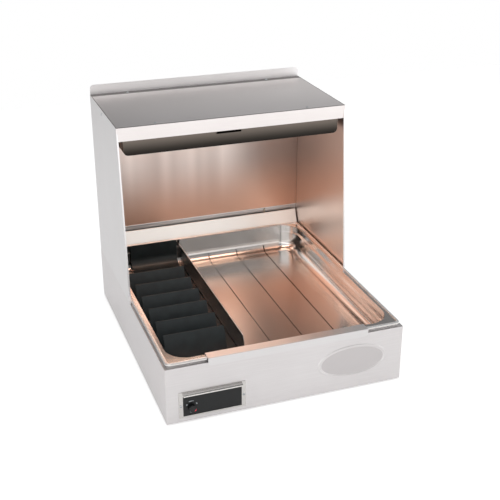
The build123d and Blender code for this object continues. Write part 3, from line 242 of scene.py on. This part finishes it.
def sheet_steel(name, light, dark, roughness, line, along="X", side_along="Y", depth=0.012,
                wave=0.25, smudge=0.08, spread=0.0, zones=()):
    """Sheet metal. Its grain runs along one axis, and along side_along on faces that look left
    or right. light and dark are its tints, line the grain's (length, width), depth the grain's
    and wave the sheet's own unevenness, in millimetres. smudge is the roughness that handling
    adds. spread draws reflections out upwards, across a grain that lies level. zones are
    functions from above, each with its sizes, laid over each other in turn."""
    made, tree = new_material(name)
    seen = add(tree, "ShaderNodeTexCoord")
    place = seen.outputs["Object"]
    facing = add(tree, "ShaderNodeSeparateXYZ", {0: seen.outputs["Normal"]})
    sideways = add(tree, "ShaderNodeMath", {0: facing.outputs["X"]}, operation="ABSOLUTE")
    side_face = add(tree, "ShaderNodeMath", {0: sideways, 1: FACING}, operation="GREATER_THAN")
    lines = add(tree, "ShaderNodeMix", {0: side_face, 2: grain(tree, place, *line, along),
                                        3: grain(tree, place, *line, side_along)})
    cloud = add(tree, "ShaderNodeTexNoise", {
        "Vector": place, "Scale": SMUDGES, "Detail": SMUDGE_DETAIL,
        "Roughness": SMUDGE_BREAK_UP})
    by_grain = add(tree, "ShaderNodeMath", {0: lines, 1: TINT_BY_GRAIN, 2: TINT_START},
                   operation="MULTIPLY_ADD")
    lightness = add(tree, "ShaderNodeMath", {0: cloud, 1: TINT_BY_SMUDGES, 2: by_grain},
                    operation="MULTIPLY_ADD")
    colour = add(tree, "ShaderNodeMix", {0: lightness, 6: linear(dark), 7: linear(light)},
                 data_type="RGBA").outputs[2]
    ridged = ROUGH_BY_DEPTH * depth
    matt = add(tree, "ShaderNodeMath", {0: lines, 1: ridged, 2: roughness - ridged / 2},
               operation="MULTIPLY_ADD")
    matt = add(tree, "ShaderNodeMath", {0: cloud, 1: smudge, 2: matt},
               operation="MULTIPLY_ADD")
    x, y, z = add(tree, "ShaderNodeSeparateXYZ", {0: place}).outputs
    spot = {"tree": tree, "place": place, "X": x, "Y": y, "Z": z, "facing": facing,
            "side face": side_face}
    for zone, sizes in zones:
        share, tint, added = zone(spot, **sizes)
        colour = add(tree, "ShaderNodeMix", {0: share, 6: colour, 7: tint},
                     data_type="RGBA").outputs[2]
        if added:
            matt = add(tree, "ShaderNodeMath", {0: share, 1: added, 2: matt},
                       operation="MULTIPLY_ADD")
    waves = add(tree, "ShaderNodeTexNoise", {"Vector": place, "Scale": SWELLS, "Detail": 0.0})
    uneven = add(tree, "ShaderNodeBump", {
        "Height": waves, "Strength": 1.0, "Distance": wave * MM})
    brushed = add(tree, "ShaderNodeBump", {
        "Height": lines, "Strength": 1.0, "Distance": depth * MM, "Normal": uneven})
    shader = add(tree, "ShaderNodeBsdfPrincipled", {
        "Base Color": colour, "Metallic": 1.0, "Roughness": matt, "Normal": brushed})
    if spread:
        shader.inputs["Anisotropic"].default_value = spread
        upwards = add(tree, "ShaderNodeCombineXYZ", {"Z": 1.0})
        tree.links.new(upwards.outputs[0], shader.inputs["Tangent"])
    add(tree, "ShaderNodeOutputMaterial", {"Surface": shader})
    return made


PATCHES = 45.0           # patches of tint in a moulding, about 22 mm across
PATCH_DETAIL = 3.0
PATCH_NOISE = (0.25, 0.75)
PIT_DETAIL = 2.0
ROUGH_BY_PITS = 0.12


def moulded(name, light, dark, roughness, grit, depth, ior=1.5, coat=0.0, glow=0.0):
    """A plastic, rubber, paint or glaze: two close tints in patches, over a fine surface of
    pits grit wide and depth deep, in millimetres. glow is the strength of the light it gives
    off."""
    made, tree = new_material(name)
    place = add(tree, "ShaderNodeTexCoord").outputs["Object"]
    patches = add(tree, "ShaderNodeTexNoise", {
        "Vector": place, "Scale": PATCHES, "Detail": PATCH_DETAIL})
    shade = add(tree, "ShaderNodeMapRange", {
        "Value": patches, "From Min": PATCH_NOISE[0], "From Max": PATCH_NOISE[1]})
    tint = add(tree, "ShaderNodeMix", {0: shade, 6: linear(dark), 7: linear(light)},
               data_type="RGBA")
    pits = add(tree, "ShaderNodeTexNoise", {
        "Vector": place, "Scale": 1 / (grit * MM), "Detail": PIT_DETAIL})
    matt = add(tree, "ShaderNodeMath", {
        0: pits, 1: ROUGH_BY_PITS, 2: roughness - ROUGH_BY_PITS / 2}, operation="MULTIPLY_ADD")
    relief = add(tree, "ShaderNodeBump", {
        "Height": pits, "Strength": 1.0, "Distance": depth * MM})
    shader = add(tree, "ShaderNodeBsdfPrincipled", {
        "Base Color": tint.outputs[2], "Roughness": matt, "IOR": ior, "Coat Weight": coat,
        "Normal": relief})
    if glow:
        shader.inputs["Emission Color"].default_value = linear(light)
        shader.inputs["Emission Strength"].default_value = glow
    add(tree, "ShaderNodeOutputMaterial", {"Surface": shader})
    return made


BELT = (70, 1.6)         # a belt's grinding lines, drawn as coarse as they need to be to show
BELT_DEPTH = 0.006
BUFFED = (110, 2.4)      # the broader, fainter lines that buffing leaves
BUFFED_DEPTH = 0.003

# Stainless sheet, belt-ground: a satin whose lines run level and spread light up and down.
satin = sheet_steel("satin_stainless_sheet", "#EDEBEB", "#DAD7D7", 0.34, BELT,
                    depth=BELT_DEPTH, wave=0.1)
# The same with its lines upright, on the hood's sides: their inner faces carry painted shade,
# brown deep in the hood, and painted warm light from the heater, pale pink at its mouth.
side_low, side_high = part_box("hood_side_right")
satin_up = sheet_steel("satin_stainless_sheet_upright", "#EDEBEB", "#DAD7D7", 0.32, BELT,
                       "Z", "Z", BELT_DEPTH, 0.1, zones=[
                           (painted_inner_shade, dict(
                               edge=side_high.x - 0.6 * MM, rear=side_high.y - 20 * MM,
                               front=side_low.y, shaded_rear_tint="#BDABA2", lit_front_tint="#F6E4DA"))])
# The same on the hood's top: a little smoother and warmer, with painted shade over the heater
# fading to the rear, and a thin painted shadow line at its joints.
top_low, top_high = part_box("hood_top")
satin_top = sheet_steel("satin_stainless_sheet_top", "#F1EBE9", "#DED7D5", 0.30, BELT,
                        depth=BELT_DEPTH, wave=0.1, zones=[
                            (painted_top_shade, dict(
                                front=top_low.y + 1.8 * MM, rear=top_high.y - 60 * MM,
                                shade_over_heater="#D0CBCB")),
                            (painted_joint_shadows, dict(
                                side=top_high.x, front=top_low.y,
                                rear=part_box("rear_rail")[0].y, width=2.4 * MM,
                                shadow_line="#6E6866"))])
# Stainless sheet, polished level, its warm tint a painted glow from the heater: painted
# reflections drawn up into soft columns, a painted copper glow low down, painted grey shade at
# its ends, and a painted highlight along its hem.
back_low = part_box("hood_back_panel")[0]
back_painted_glow = sheet_steel("stainless_back_painted_glow", "#FFF6F1", "#FDEAE1", 0.29, (300, 3.0),
                     depth=0.0, wave=0.06, smudge=0.04, spread=0.8, zones=[
                         (painted_reflection_columns, dict(
                             width=52, left=back_low.x, full=back_low.x + 80 * MM,
                             fading=20 * MM, right=150 * MM, end_shade="#A99B95")),
                         (lower_band, dict(
                             low=back_low.z, high=back_low.z + 170 * MM, low_tint="#F0BFA6")),
                         (painted_highlight_edge, dict(
                             axis="Z", off=back_low.z + 2.4 * MM,
                             full=back_low.z + 1.8 * MM))])
# The belt-ground sheet round the base, with a bare oval etched on its front: matt and a little
# darker.
satin_base = sheet_steel("satin_stainless_etched_oval", "#ECE9E9", "#D2CDCD", 0.34, BELT,
                         depth=BELT_DEPTH, wave=0.1, zones=[
                             (etched_oval, dict(
                                 x=153 * MM, z=74 * MM, half_width=79 * MM,
                                 half_height=35 * MM, etched="#D3CFCF"))])
# Stainless sheet, polished then handled: clear reflections over faint upright lines.
polished = sheet_steel("polished_stainless_sheet", "#E0DDDA", "#CFCBC8", 0.20, BUFFED,
                       "Z", "Z", BUFFED_DEPTH, 0.05, 0.05)
# The same on the divider, with a painted highlight along its top edge.
wall_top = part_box("divider")[1].z
polished_edge = sheet_steel("polished_stainless_divider", "#E0DDDA", "#CFCBC8", 0.20, BUFFED,
                            "Z", "Z", BUFFED_DEPTH, 0.05, 0.05, zones=[
                                (painted_highlight_edge, dict(
                                    axis="Z", off=wall_top - 2.0 * MM,
                                    full=wall_top - 1.4 * MM))])
# Stainless, deep-drawn: mirror-like, with the slight ripple that drawing leaves and a painted
# highlight along its bead.
bead_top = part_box("food_pan")[1].z
drawn = sheet_steel("drawn_stainless_pan", "#E6E3E1", "#D4D0CD", 0.15, (40, 1.6),
                    depth=0.003, wave=0.01, smudge=0.04, zones=[
                        (painted_highlight_edge, dict(
                            axis="Z", off=bead_top - 1.2 * MM, full=bead_top - 0.6 * MM))])
# Stainless, bright-annealed: pale, with a slightly warm tint that is a painted reflection of the
# heater's glow.
deflector = sheet_steel("bright_deflector_painted_glow", "#FFFCF8", "#FBF4EC", 0.34, (90, 1.6),
                        depth=0.003, wave=0.03)
# Stainless, dark brown-grey, darker towards its lower edge.
housing_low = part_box("heater_housing")[0].z
tinted = sheet_steel("dark_stainless_housing", "#857B73", "#6B635B", 0.38, (90, 1.8),
                     depth=0.006, wave=0.1, zones=[
                         (lower_band, dict(
                             low=housing_low, high=housing_low + 44 * MM, low_tint="#2C2926"))])
# Hot-dip galvanised sheet: grey with a dull, cloudy bloom.
galvanised = sheet_steel("galvanised_sheet", "#B9BCBE", "#8F9396", 0.45, (12, 8.0),
                         depth=0.02, wave=0.2, smudge=0.2)
# Zinc-plated steel, drawn as wire and turned as screws: bright, slightly blue.
zinc = sheet_steel("zinc_plated_steel", "#D4D6D8", "#A9ADB1", 0.28, (6, 0.8),
                   depth=0.01, wave=0.0, smudge=0.1)
# Aluminium, bright-rolled: long faint roll lines.
bright_roll = sheet_steel("bright_rolled_aluminium", "#E8E6E3", "#D2CFCB", 0.15, (200, 2.0),
                          "X", "X", 0.004, 0.4)
# Element's sheath, oxidised by heat: dark, dry, and glowing when it works.
sheath = moulded("oxidised_element_sheath", "#FF8A48", "#7A2E14", 0.6, 0.6, 0.02, glow=2.2)
# Non-stick coating, sprayed and baked: near-black green-grey with a fine orange peel.
nonstick = moulded("baked_nonstick_coating", "#20282A", "#141A1C", 0.42, 2.2, 0.012, coat=0.1)
# Polyester facia, screen-printed over steel: flat black with a low sheen.
facia = moulded("printed_polyester_facia", "#0B0E10", "#07090A", 0.4, 1.2, 0.004)
# Phenolic, moulded: deep black with a soft gloss.
phenolic = moulded("moulded_phenolic", "#1C1C1D", "#101011", 0.35, 1.0, 0.01)
# Polycarbonate lens, moulded and lit from behind: glossy red with an even glow.
lens_red = moulded("lit_polycarbonate_lens", "#E8384E", "#B41428", 0.12, 1.0, 0.004, 1.58,
                   glow=1.1)
# Ink, screen-printed: matt, slightly broken.
ink = moulded("screen_printed_ink", "#C9CED2", "#A9B0B5", 0.6, 0.5, 0.004)
# Nitrile rubber, moulded: soot black and dull.
nitrile = moulded("moulded_nitrile_rubber", "#26262A", "#18181A", 0.7, 0.8, 0.02)
# Nylon, moulded: dark, waxy.
nylon = moulded("moulded_nylon", "#2E2F33", "#202124", 0.45, 0.8, 0.012, 1.53)
# Thermoplastic polyester, moulded: cream, matt.
cream = moulded("moulded_pbt_cream", "#E6DDC8", "#D5CAB2", 0.5, 0.8, 0.012)
# Silicone rubber, cured over glass cloth: dull terracotta, faintly pebbled by the cloth.
silicone = moulded("silicone_rubber_mat", "#B5553A", "#94402A", 0.6, 1.4, 0.05)
# Ceramic-fibre board, pressed: pale, loose fibres.
fibre = moulded("ceramic_fibre_board", "#E9E4D2", "#CFC8B2", 0.9, 1.2, 0.2)
# Steatite, fired and glazed: cream white under a clear gloss.
steatite = moulded("glazed_steatite", "#ECE6DC", "#DDD5C8", 0.2, 1.5, 0.006, coat=0.4)
# Glass sleeve, braided and left undyed: pale and dry, nubbly as its braid is.
sleeve = moulded("braided_glass_sleeve", "#C9BFB0", "#A99E8E", 0.75, 0.9, 0.06)

slot_finish = {
    "stainless": satin, "polished_steel": polished, "black_coating": nonstick,
    "facia_black": facia, "knob_black": phenolic, "lens_red": lens_red,
    "rubber_black": nitrile, "plastic_dark": nylon, "plastic_cream": cream, "zinc": zinc,
    "galvanised": galvanised, "silicone": silicone, "insulation": fibre, "ceramic": steatite,
    "element_sheath": sheath, "reflector_aluminium": bright_roll, "cable_sleeve": sleeve,
}
node_finish = {
    "base_shell": satin_base, "food_pan": drawn, "hood_side_left": satin_up,
    "hood_side_right": satin_up, "heater_housing": tinted, "hood_top": satin_top,
    "fry_ramp": polished, "divider": polished_edge, "hood_back_panel": back_painted_glow,
    "rear_baffle": deflector, "control_bezel": polished,
}

for node, thing in frame["nodes"].items():
    thing.data.materials.clear()
    thing.data.materials.append(node_finish.get(node, slot_finish[slot_of[node]]))


# ---- pieces: what they share ----
DOUBLES = 0.001          # points nearer than this, in millimetres, are one


def put(name, mesh, finish, body, smooth=True):
    """Makes a piece of a finished mesh, gives it its material, and lets it ride on its body."""
    mesh.materials.append(finish)
    mesh.polygons.foreach_set("use_smooth", np.full(len(mesh.polygons), smooth))
    piece = bpy.data.objects.new(name, mesh)
    bpy.context.scene.collection.objects.link(piece)
    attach(piece, body)
    return piece


def grid_mesh(name, points, close_u=False):
    """A mesh from a grid of points, rows by columns, joined into quads. close_u joins the last
    column to the first."""
    rows, columns = points.shape[:2]
    index = np.arange(rows * columns).reshape(rows, columns)
    right = np.roll(index, -1, axis=1) if close_u else index[:, 1:]
    left = index if close_u else index[:, :-1]
    quads = np.stack([left[:-1], right[:-1], right[1:], left[1:]], axis=-1).reshape(-1, 4)
    mesh = bpy.data.meshes.new(name)
    mesh.from_pydata(points.reshape(-1, 3).tolist(), [], quads.tolist())
    return mesh


def one_mesh(name, grids):
    """One mesh of several, with doubles merged, so poles and seams close, and with its faces
    turned outwards."""
    work = bmesh.new()
    for part in grids:
        work.from_mesh(part)
        bpy.data.meshes.remove(part)
    bmesh.ops.remove_doubles(work, verts=work.verts, dist=DOUBLES * MM)
    bmesh.ops.recalc_face_normals(work, faces=work.faces)
    mesh = bpy.data.meshes.new(name)
    work.to_mesh(mesh)
    work.free()
    return mesh


# ---- folded sheet edges ----
# Outside radius of each node's folds, in millimetres.
FOLD_ROUND = {
    "base_shell": 0.55, "base_rear_panel": 0.4, "hood_side_left": 0.55,
    "hood_side_right": 0.55, "rear_rail": 0.45, "hood_rear_panel": 0.45,
    "hood_back_panel": 0.45, "rear_baffle": 0.5, "heater_housing": 0.45, "divider": 0.4,
    "fry_ramp": 0.4, "rack_tray": 0.45, "rack_plates": 0.45, "control_bezel": 0.35,
    "well_liner": 0.6, "hood_top": 0.5,
}
TRIANGLE_GAP = 0.002     # loose triangles' corners nearer than this, in millimetres, are one
SAME_FACE = 0.5          # degrees between triangles of one face
FOLD_ANGLE = 40          # degrees from which an edge is rounded
FOLD_STEPS = 2
FLAT_WEIGHT = 100


def softened(node, radius):
    """A copy of a CAD node with its loose triangles merged into whole faces and every fold's
    edge rounded."""
    mesh = frame["nodes"][node].data.copy()
    work = bmesh.new()
    work.from_mesh(mesh)
    bmesh.ops.remove_doubles(work, verts=work.verts, dist=TRIANGLE_GAP * MM)
    bmesh.ops.dissolve_limit(work, angle_limit=math.radians(SAME_FACE), verts=work.verts,
                             edges=work.edges)
    work.to_mesh(mesh)
    work.free()
    mesh.name = node + "_sheet"
    mesh.polygons.foreach_set("use_smooth", np.full(len(mesh.polygons), True))
    piece = bpy.data.objects.new(node + "_sheet", mesh)
    bpy.context.scene.collection.objects.link(piece)
    bevel = piece.modifiers.new("fold", "BEVEL")
    bevel.width = radius * MM
    bevel.segments = FOLD_STEPS
    bevel.limit_method = "ANGLE"
    bevel.angle_limit = math.radians(FOLD_ANGLE)
    flat = piece.modifiers.new("flat_faces", "WEIGHTED_NORMAL")
    flat.mode = "FACE_AREA"
    flat.weight = FLAT_WEIGHT
    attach(piece, body_of[node])
    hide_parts(node)


for node, radius in FOLD_ROUND.items():
    softened(node, radius)


# ---- screw heads, in millimetres ----
HEAD_RADIUS = 3.2
HEAD_HEIGHT = 1.4
HEAD_SIDES = 64
DOME_RINGS = 15
SHANK_RADIUS = 1.8
SIDE_SHANK = 2.2
CROSS_REACH = 1.75
CROSS_HALF = 0.38
CROSS_DEPTH = 0.85
CROSS_EDGE = 35          # degrees from which a head's edge is sharp
REAR_MIDDLE = 345        # middle rear screws, above the counter


def screws(node, heads, length):
    """Cross-recessed screws, each at a place and facing a direction. Over radius r, as a share
    of the head's, and angle t the head's height is a flattened dome, H times the root of
    1 - r to the fourth, lowered where the point lies within either arm of a cross. The rows
    after it carry the outline in under the head, down the shank and across its tip."""
    shank = SHANK_RADIUS / HEAD_RADIUS
    r = np.concatenate([np.linspace(0, 1, DOME_RINGS), [1, shank, shank, 0]])[:, None]
    t = np.linspace(0, math.tau, HEAD_SIDES, endpoint=False)[None, :]
    u, v = r * np.cos(t) * HEAD_RADIUS, r * np.sin(t) * HEAD_RADIUS
    rise = HEAD_HEIGHT * np.sqrt(np.clip(1 - r ** 4, 0, 1)) + 0 * t
    arm_a = (np.abs(u) < CROSS_HALF) & (np.abs(v) < CROSS_REACH)
    arm_b = (np.abs(v) < CROSS_HALF) & (np.abs(u) < CROSS_REACH)
    rise = rise - CROSS_DEPTH * (arm_a | arm_b)
    rise[DOME_RINGS:DOME_RINGS + 2] = 0
    rise[DOME_RINGS + 2:] = -length
    grids = []
    for place, direction in heads:
        out = Vector(direction)
        side = out.orthogonal().normalized()
        axes = (side, out.cross(side), out)
        shape = sum(size[..., None] * np.array(axis) for size, axis in zip((u, v, rise), axes))
        grids.append(grid_mesh("head", shape * MM + np.array(place), True))
    name = node.replace("_screws", "_cross_screws")
    piece = put(name, one_mesh(name, grids), zinc, body_of[node])
    piece.modifiers.new("edge", "EDGE_SPLIT").split_angle = math.radians(CROSS_EDGE)
    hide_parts(node)


def make_screws():
    """The screws that show, each node's heads set from its own box."""
    edge, height = HEAD_RADIUS * MM, HEAD_HEIGHT * MM
    low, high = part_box("top_screws")
    base = high.z - height
    heads = [((x, y, base), (0, 0, 1)) for x in (low.x + edge, high.x - edge)
             for y in (low.y + edge, high.y - edge)]
    screws("top_screws", heads, (base - low.z) / MM)
    low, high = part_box("rear_screws")
    base = high.y - height
    heads = [((x, base, z), (0, 1, 0)) for x in (low.x + edge, high.x - edge)
             for z in (low.z + edge, REAR_MIDDLE * MM, high.z - edge)]
    screws("rear_screws", heads, (base - low.y) / MM)
    low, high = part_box("bezel_screws")
    base, middle = low.y + height, (low.z + high.z) / 2
    heads = [((x, base, middle), (0, -1, 0)) for x in (low.x + edge, high.x - edge)]
    screws("bezel_screws", heads, (high.y - base) / MM)
    low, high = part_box("side_screws")
    y, z = (low.y + high.y) / 2, (low.z + high.z) / 2
    heads = [((low.x + height, y, z), (-1, 0, 0)), ((high.x - height, y, z), (1, 0, 0))]
    screws("side_screws", heads, SIDE_SHANK)


make_screws()


# ---- lamp and printing of the control panel, in millimetres and degrees ----
LENS_RADIUS = 3.1
LENS_RINGS = 14
LENS_SIDES = 40
LENS_GAP = 0.02          # from the dome's rim to the plate
LENS_EDGE = 50           # degrees from which the lens's edge is sharp
FILM = 0.05              # ink's distance from the plate, and nearly its thickness
FILM_SHARE = 0.8
# (from, to, radius, width) of each mark round the knob: angles anticlockwise from the right
DIAL_MARKS = ((70, 112, 15.2, 2.0), (138, 152, 12.8, 2.2), (26, 40, 13.4, 2.2))
SCALE_START = 0.35       # width of the first mark's right end, as a share of its left's
DIAL_DOT = (-100, 11.6, 1.5)    # angle, distance from the knob's centre, radius
DIAL_STEPS = 24
MARK_ROWS = 4
DOT_ROWS = 5
DOT_START = 0.02         # innermost row of the dot, as a share of its radius


def make_lens():
    """Domed lamp lens: round its axis, a quarter ellipse from its tip to its rim, then a plug
    back through the plate."""
    low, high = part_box("indicator_lens")
    x, z, plug = (low.x + high.x) / 2, (low.z + high.z) / 2, (high.x - low.x) / 2
    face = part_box("control_plate")[0].y
    rim = face - LENS_GAP * MM
    rise = np.linspace(0, math.pi / 2, LENS_RINGS)
    r = np.concatenate([np.sin(rise) * LENS_RADIUS * MM, [plug, plug, 0.0]])[:, None]
    y = np.concatenate([rim - np.cos(rise) * (rim - low.y), [rim, high.y, high.y]])[:, None]
    t = np.linspace(0, math.tau, LENS_SIDES, endpoint=False)[None, :]
    shape = np.stack([x + r * np.cos(t), y + 0 * t, z + r * np.sin(t)], -1)
    mesh = one_mesh("lamp_lens", [grid_mesh("dome", shape, True)])
    piece = put("lamp_lens", mesh, lens_red, body_of["indicator_lens"])
    piece.modifiers.new("edge", "EDGE_SPLIT").split_angle = math.radians(LENS_EDGE)
    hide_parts("indicator_lens")


def flat_points(x, z, r, a, face):
    """Points r from the centre (x, z) along the angle a, on the plane y = face."""
    return np.stack([x + r * np.cos(a), face + 0 * r * a, z + r * np.sin(a)], -1)


def make_dial():
    """Printed marks round the knob, each a grid of radius by angle. The first, a heat scale,
    widens from its right end to its left. The last is a dot."""
    low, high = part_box("control_knob")
    x, z = (low.x + high.x) / 2, (low.z + high.z) / 2
    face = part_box("control_plate")[0].y - FILM * MM
    grids = []
    for number, (start, end, radius, width) in enumerate(DIAL_MARKS):
        a = np.radians(np.linspace(start, end, DIAL_STEPS))[None, :]
        share = np.linspace(SCALE_START if number == 0 else 1.0, 1.0, DIAL_STEPS)[None, :]
        r = (radius + np.linspace(-0.5, 0.5, MARK_ROWS)[:, None] * share * width) * MM
        grids.append(grid_mesh("mark", flat_points(x, z, r, a, face)))
    turn, away, size = math.radians(DIAL_DOT[0]), DIAL_DOT[1] * MM, DIAL_DOT[2] * MM
    x, z = x + away * math.cos(turn), z + away * math.sin(turn)
    a = np.linspace(0, math.tau, DIAL_STEPS, endpoint=False)[None, :]
    r = np.linspace(DOT_START, 1, DOT_ROWS)[:, None] * size
    grids.append(grid_mesh("dot", flat_points(x, z, r, a, face), True))
    piece = put("dial_scale", one_mesh("dial_scale", grids), ink, "cabinet",
                False)
    film = piece.modifiers.new("film", "SOLIDIFY")
    film.thickness = FILM * FILM_SHARE * MM
    film.offset = 0


make_lens()
make_dial()


# ---- world, floor and lamps ----
# Each fade is an axis of the direction looked in, and (its share, strength) at both ends.
WALL = ("Z", (0.08, 1.0), (0.48, 0.08))      # behind: bright at the horizon, dark overhead
WINDOW = ("X", (0.1, 0.65), (0.45, 1.75))    # behind: brighter to the right
CARD = ("Z", (0.14, 1.6), (0.42, 0.1))       # before: a bright card, low down
BEHIND_MOST = 0.95
BEHIND_FROM, BEHIND_TO = -0.2, 0.2           # shares of Y over which before turns to behind
DIFFUSE_STRENGTH = 0.5                       # the dome's even light on matt surfaces
FLOOR_HALF = 2.2
FLOOR_SEEN = 0.45        # white added where the camera sees the paper
FLOOR_MIRRORED = 0.12    # and where metal does
# name, place, aim, size, watts, colour
SOFTBOXES = (
    ("key", (-1.6, -2.2, 2.6), (0, 0, 0.2), (4.4, 4.4), 46, "#FFFFFF"),
    ("fill", (2.4, -1.8, 1.6), (0, 0, 0.2), (3.0, 3.0), 16, "#FFFFFF"),
    ("top", (0.2, 0.4, 3.0), (0, 0, 0.3), (3.0, 3.0), 14, "#FFFFFF"),
    ("heater", (0.0, 0.12, 0.474), (0.0, 0.16, 0.1), (0.44, 0.10), 0.52, "#FFDFC8"),
)


def light_path(tree):
    """Light Path, and 1 where the camera looks straight or through something clear."""
    ray = add(tree, "ShaderNodeLightPath")
    return ray, add(tree, "ShaderNodeMath", {
        0: ray.outputs["Is Camera Ray"], 1: ray.outputs["Is Transmission Ray"]},
        operation="MAXIMUM")


def make_world():
    """A studio: white to the eye, and in reflections a wall with a window on one side and a
    card on the other, darker overhead."""
    world = bpy.data.worlds.new("studio")
    bpy.context.scene.world = world
    world.use_nodes = True
    tree = world.node_tree
    tree.nodes.clear()
    ray, clear = light_path(tree)
    way = add(tree, "ShaderNodeSeparateXYZ", {
        0: add(tree, "ShaderNodeTexCoord").outputs["Generated"]})
    wall, window, card = (add(tree, "ShaderNodeMapRange", {
        "Value": way.outputs[axis], "From Min": start[0], "From Max": end[0],
        "To Min": start[1], "To Max": end[1]}) for axis, start, end in (WALL, WINDOW, CARD))
    lit = add(tree, "ShaderNodeMath", {0: wall, 1: window}, operation="MULTIPLY")
    behind = add(tree, "ShaderNodeMath", {0: lit, 1: BEHIND_MOST}, operation="MINIMUM")
    rearward = add(tree, "ShaderNodeMapRange", {
        "Value": way.outputs["Y"], "From Min": BEHIND_FROM, "From Max": BEHIND_TO})
    dome = add(tree, "ShaderNodeMix", {0: rearward, 2: card, 3: behind})
    shown = add(tree, "ShaderNodeMix", {0: clear, 2: dome, 3: 1.0})
    mirrored = add(tree, "ShaderNodeMath", {0: clear, 1: ray.outputs["Is Glossy Ray"]},
                   operation="MAXIMUM")
    strength = add(tree, "ShaderNodeMix", {0: mirrored, 2: DIFFUSE_STRENGTH, 3: shown})
    back = add(tree, "ShaderNodeBackground", {"Color": (1, 1, 1, 1), "Strength": strength})
    add(tree, "ShaderNodeOutputWorld", {"Surface": back})


def make_floor():
    """A wide sheet of paper on the bench: white to the eye, with the object's shadow kept."""
    half = FLOOR_HALF
    mesh = bpy.data.meshes.new("floor")
    mesh.from_pydata([(-half, -half, 0), (half, -half, 0), (half, half, 0), (-half, half, 0)],
                     [], [(0, 1, 2, 3)])
    floor = bpy.data.objects.new("floor", mesh)
    bpy.context.scene.collection.objects.link(floor)
    made, tree = new_material("white_backdrop_paper")
    ray, clear = light_path(tree)
    mirrored = add(tree, "ShaderNodeMath", {
        0: ray.outputs["Is Glossy Ray"], 1: FLOOR_MIRRORED}, operation="MULTIPLY")
    lift = add(tree, "ShaderNodeMath", {0: clear, 1: FLOOR_SEEN, 2: mirrored},
               operation="MULTIPLY_ADD")
    paper = add(tree, "ShaderNodeBsdfPrincipled", {
        "Base Color": linear("#F4F4F4"), "Roughness": 0.9, "Specular IOR Level": 0.0,
        "Emission Color": (1, 1, 1, 1), "Emission Strength": lift})
    add(tree, "ShaderNodeOutputMaterial", {"Surface": paper})
    mesh.materials.append(made)


def make_softbox(name, place, aim, size, watts, colour):
    data = bpy.data.lights.new(name, "AREA")
    data.shape = "RECTANGLE"
    data.size, data.size_y = size
    data.energy = watts
    data.color = linear(colour)[:3]
    lamp = bpy.data.objects.new(name, data)
    lamp.location = place
    lamp.rotation_euler = (Vector(aim) - Vector(place)).to_track_quat("-Z", "Y").to_euler()
    bpy.context.scene.collection.objects.link(lamp)


make_world()
make_floor()
for softbox in SOFTBOXES:
    make_softbox(*softbox)

bpy.context.scene.view_settings.view_transform = "Standard"
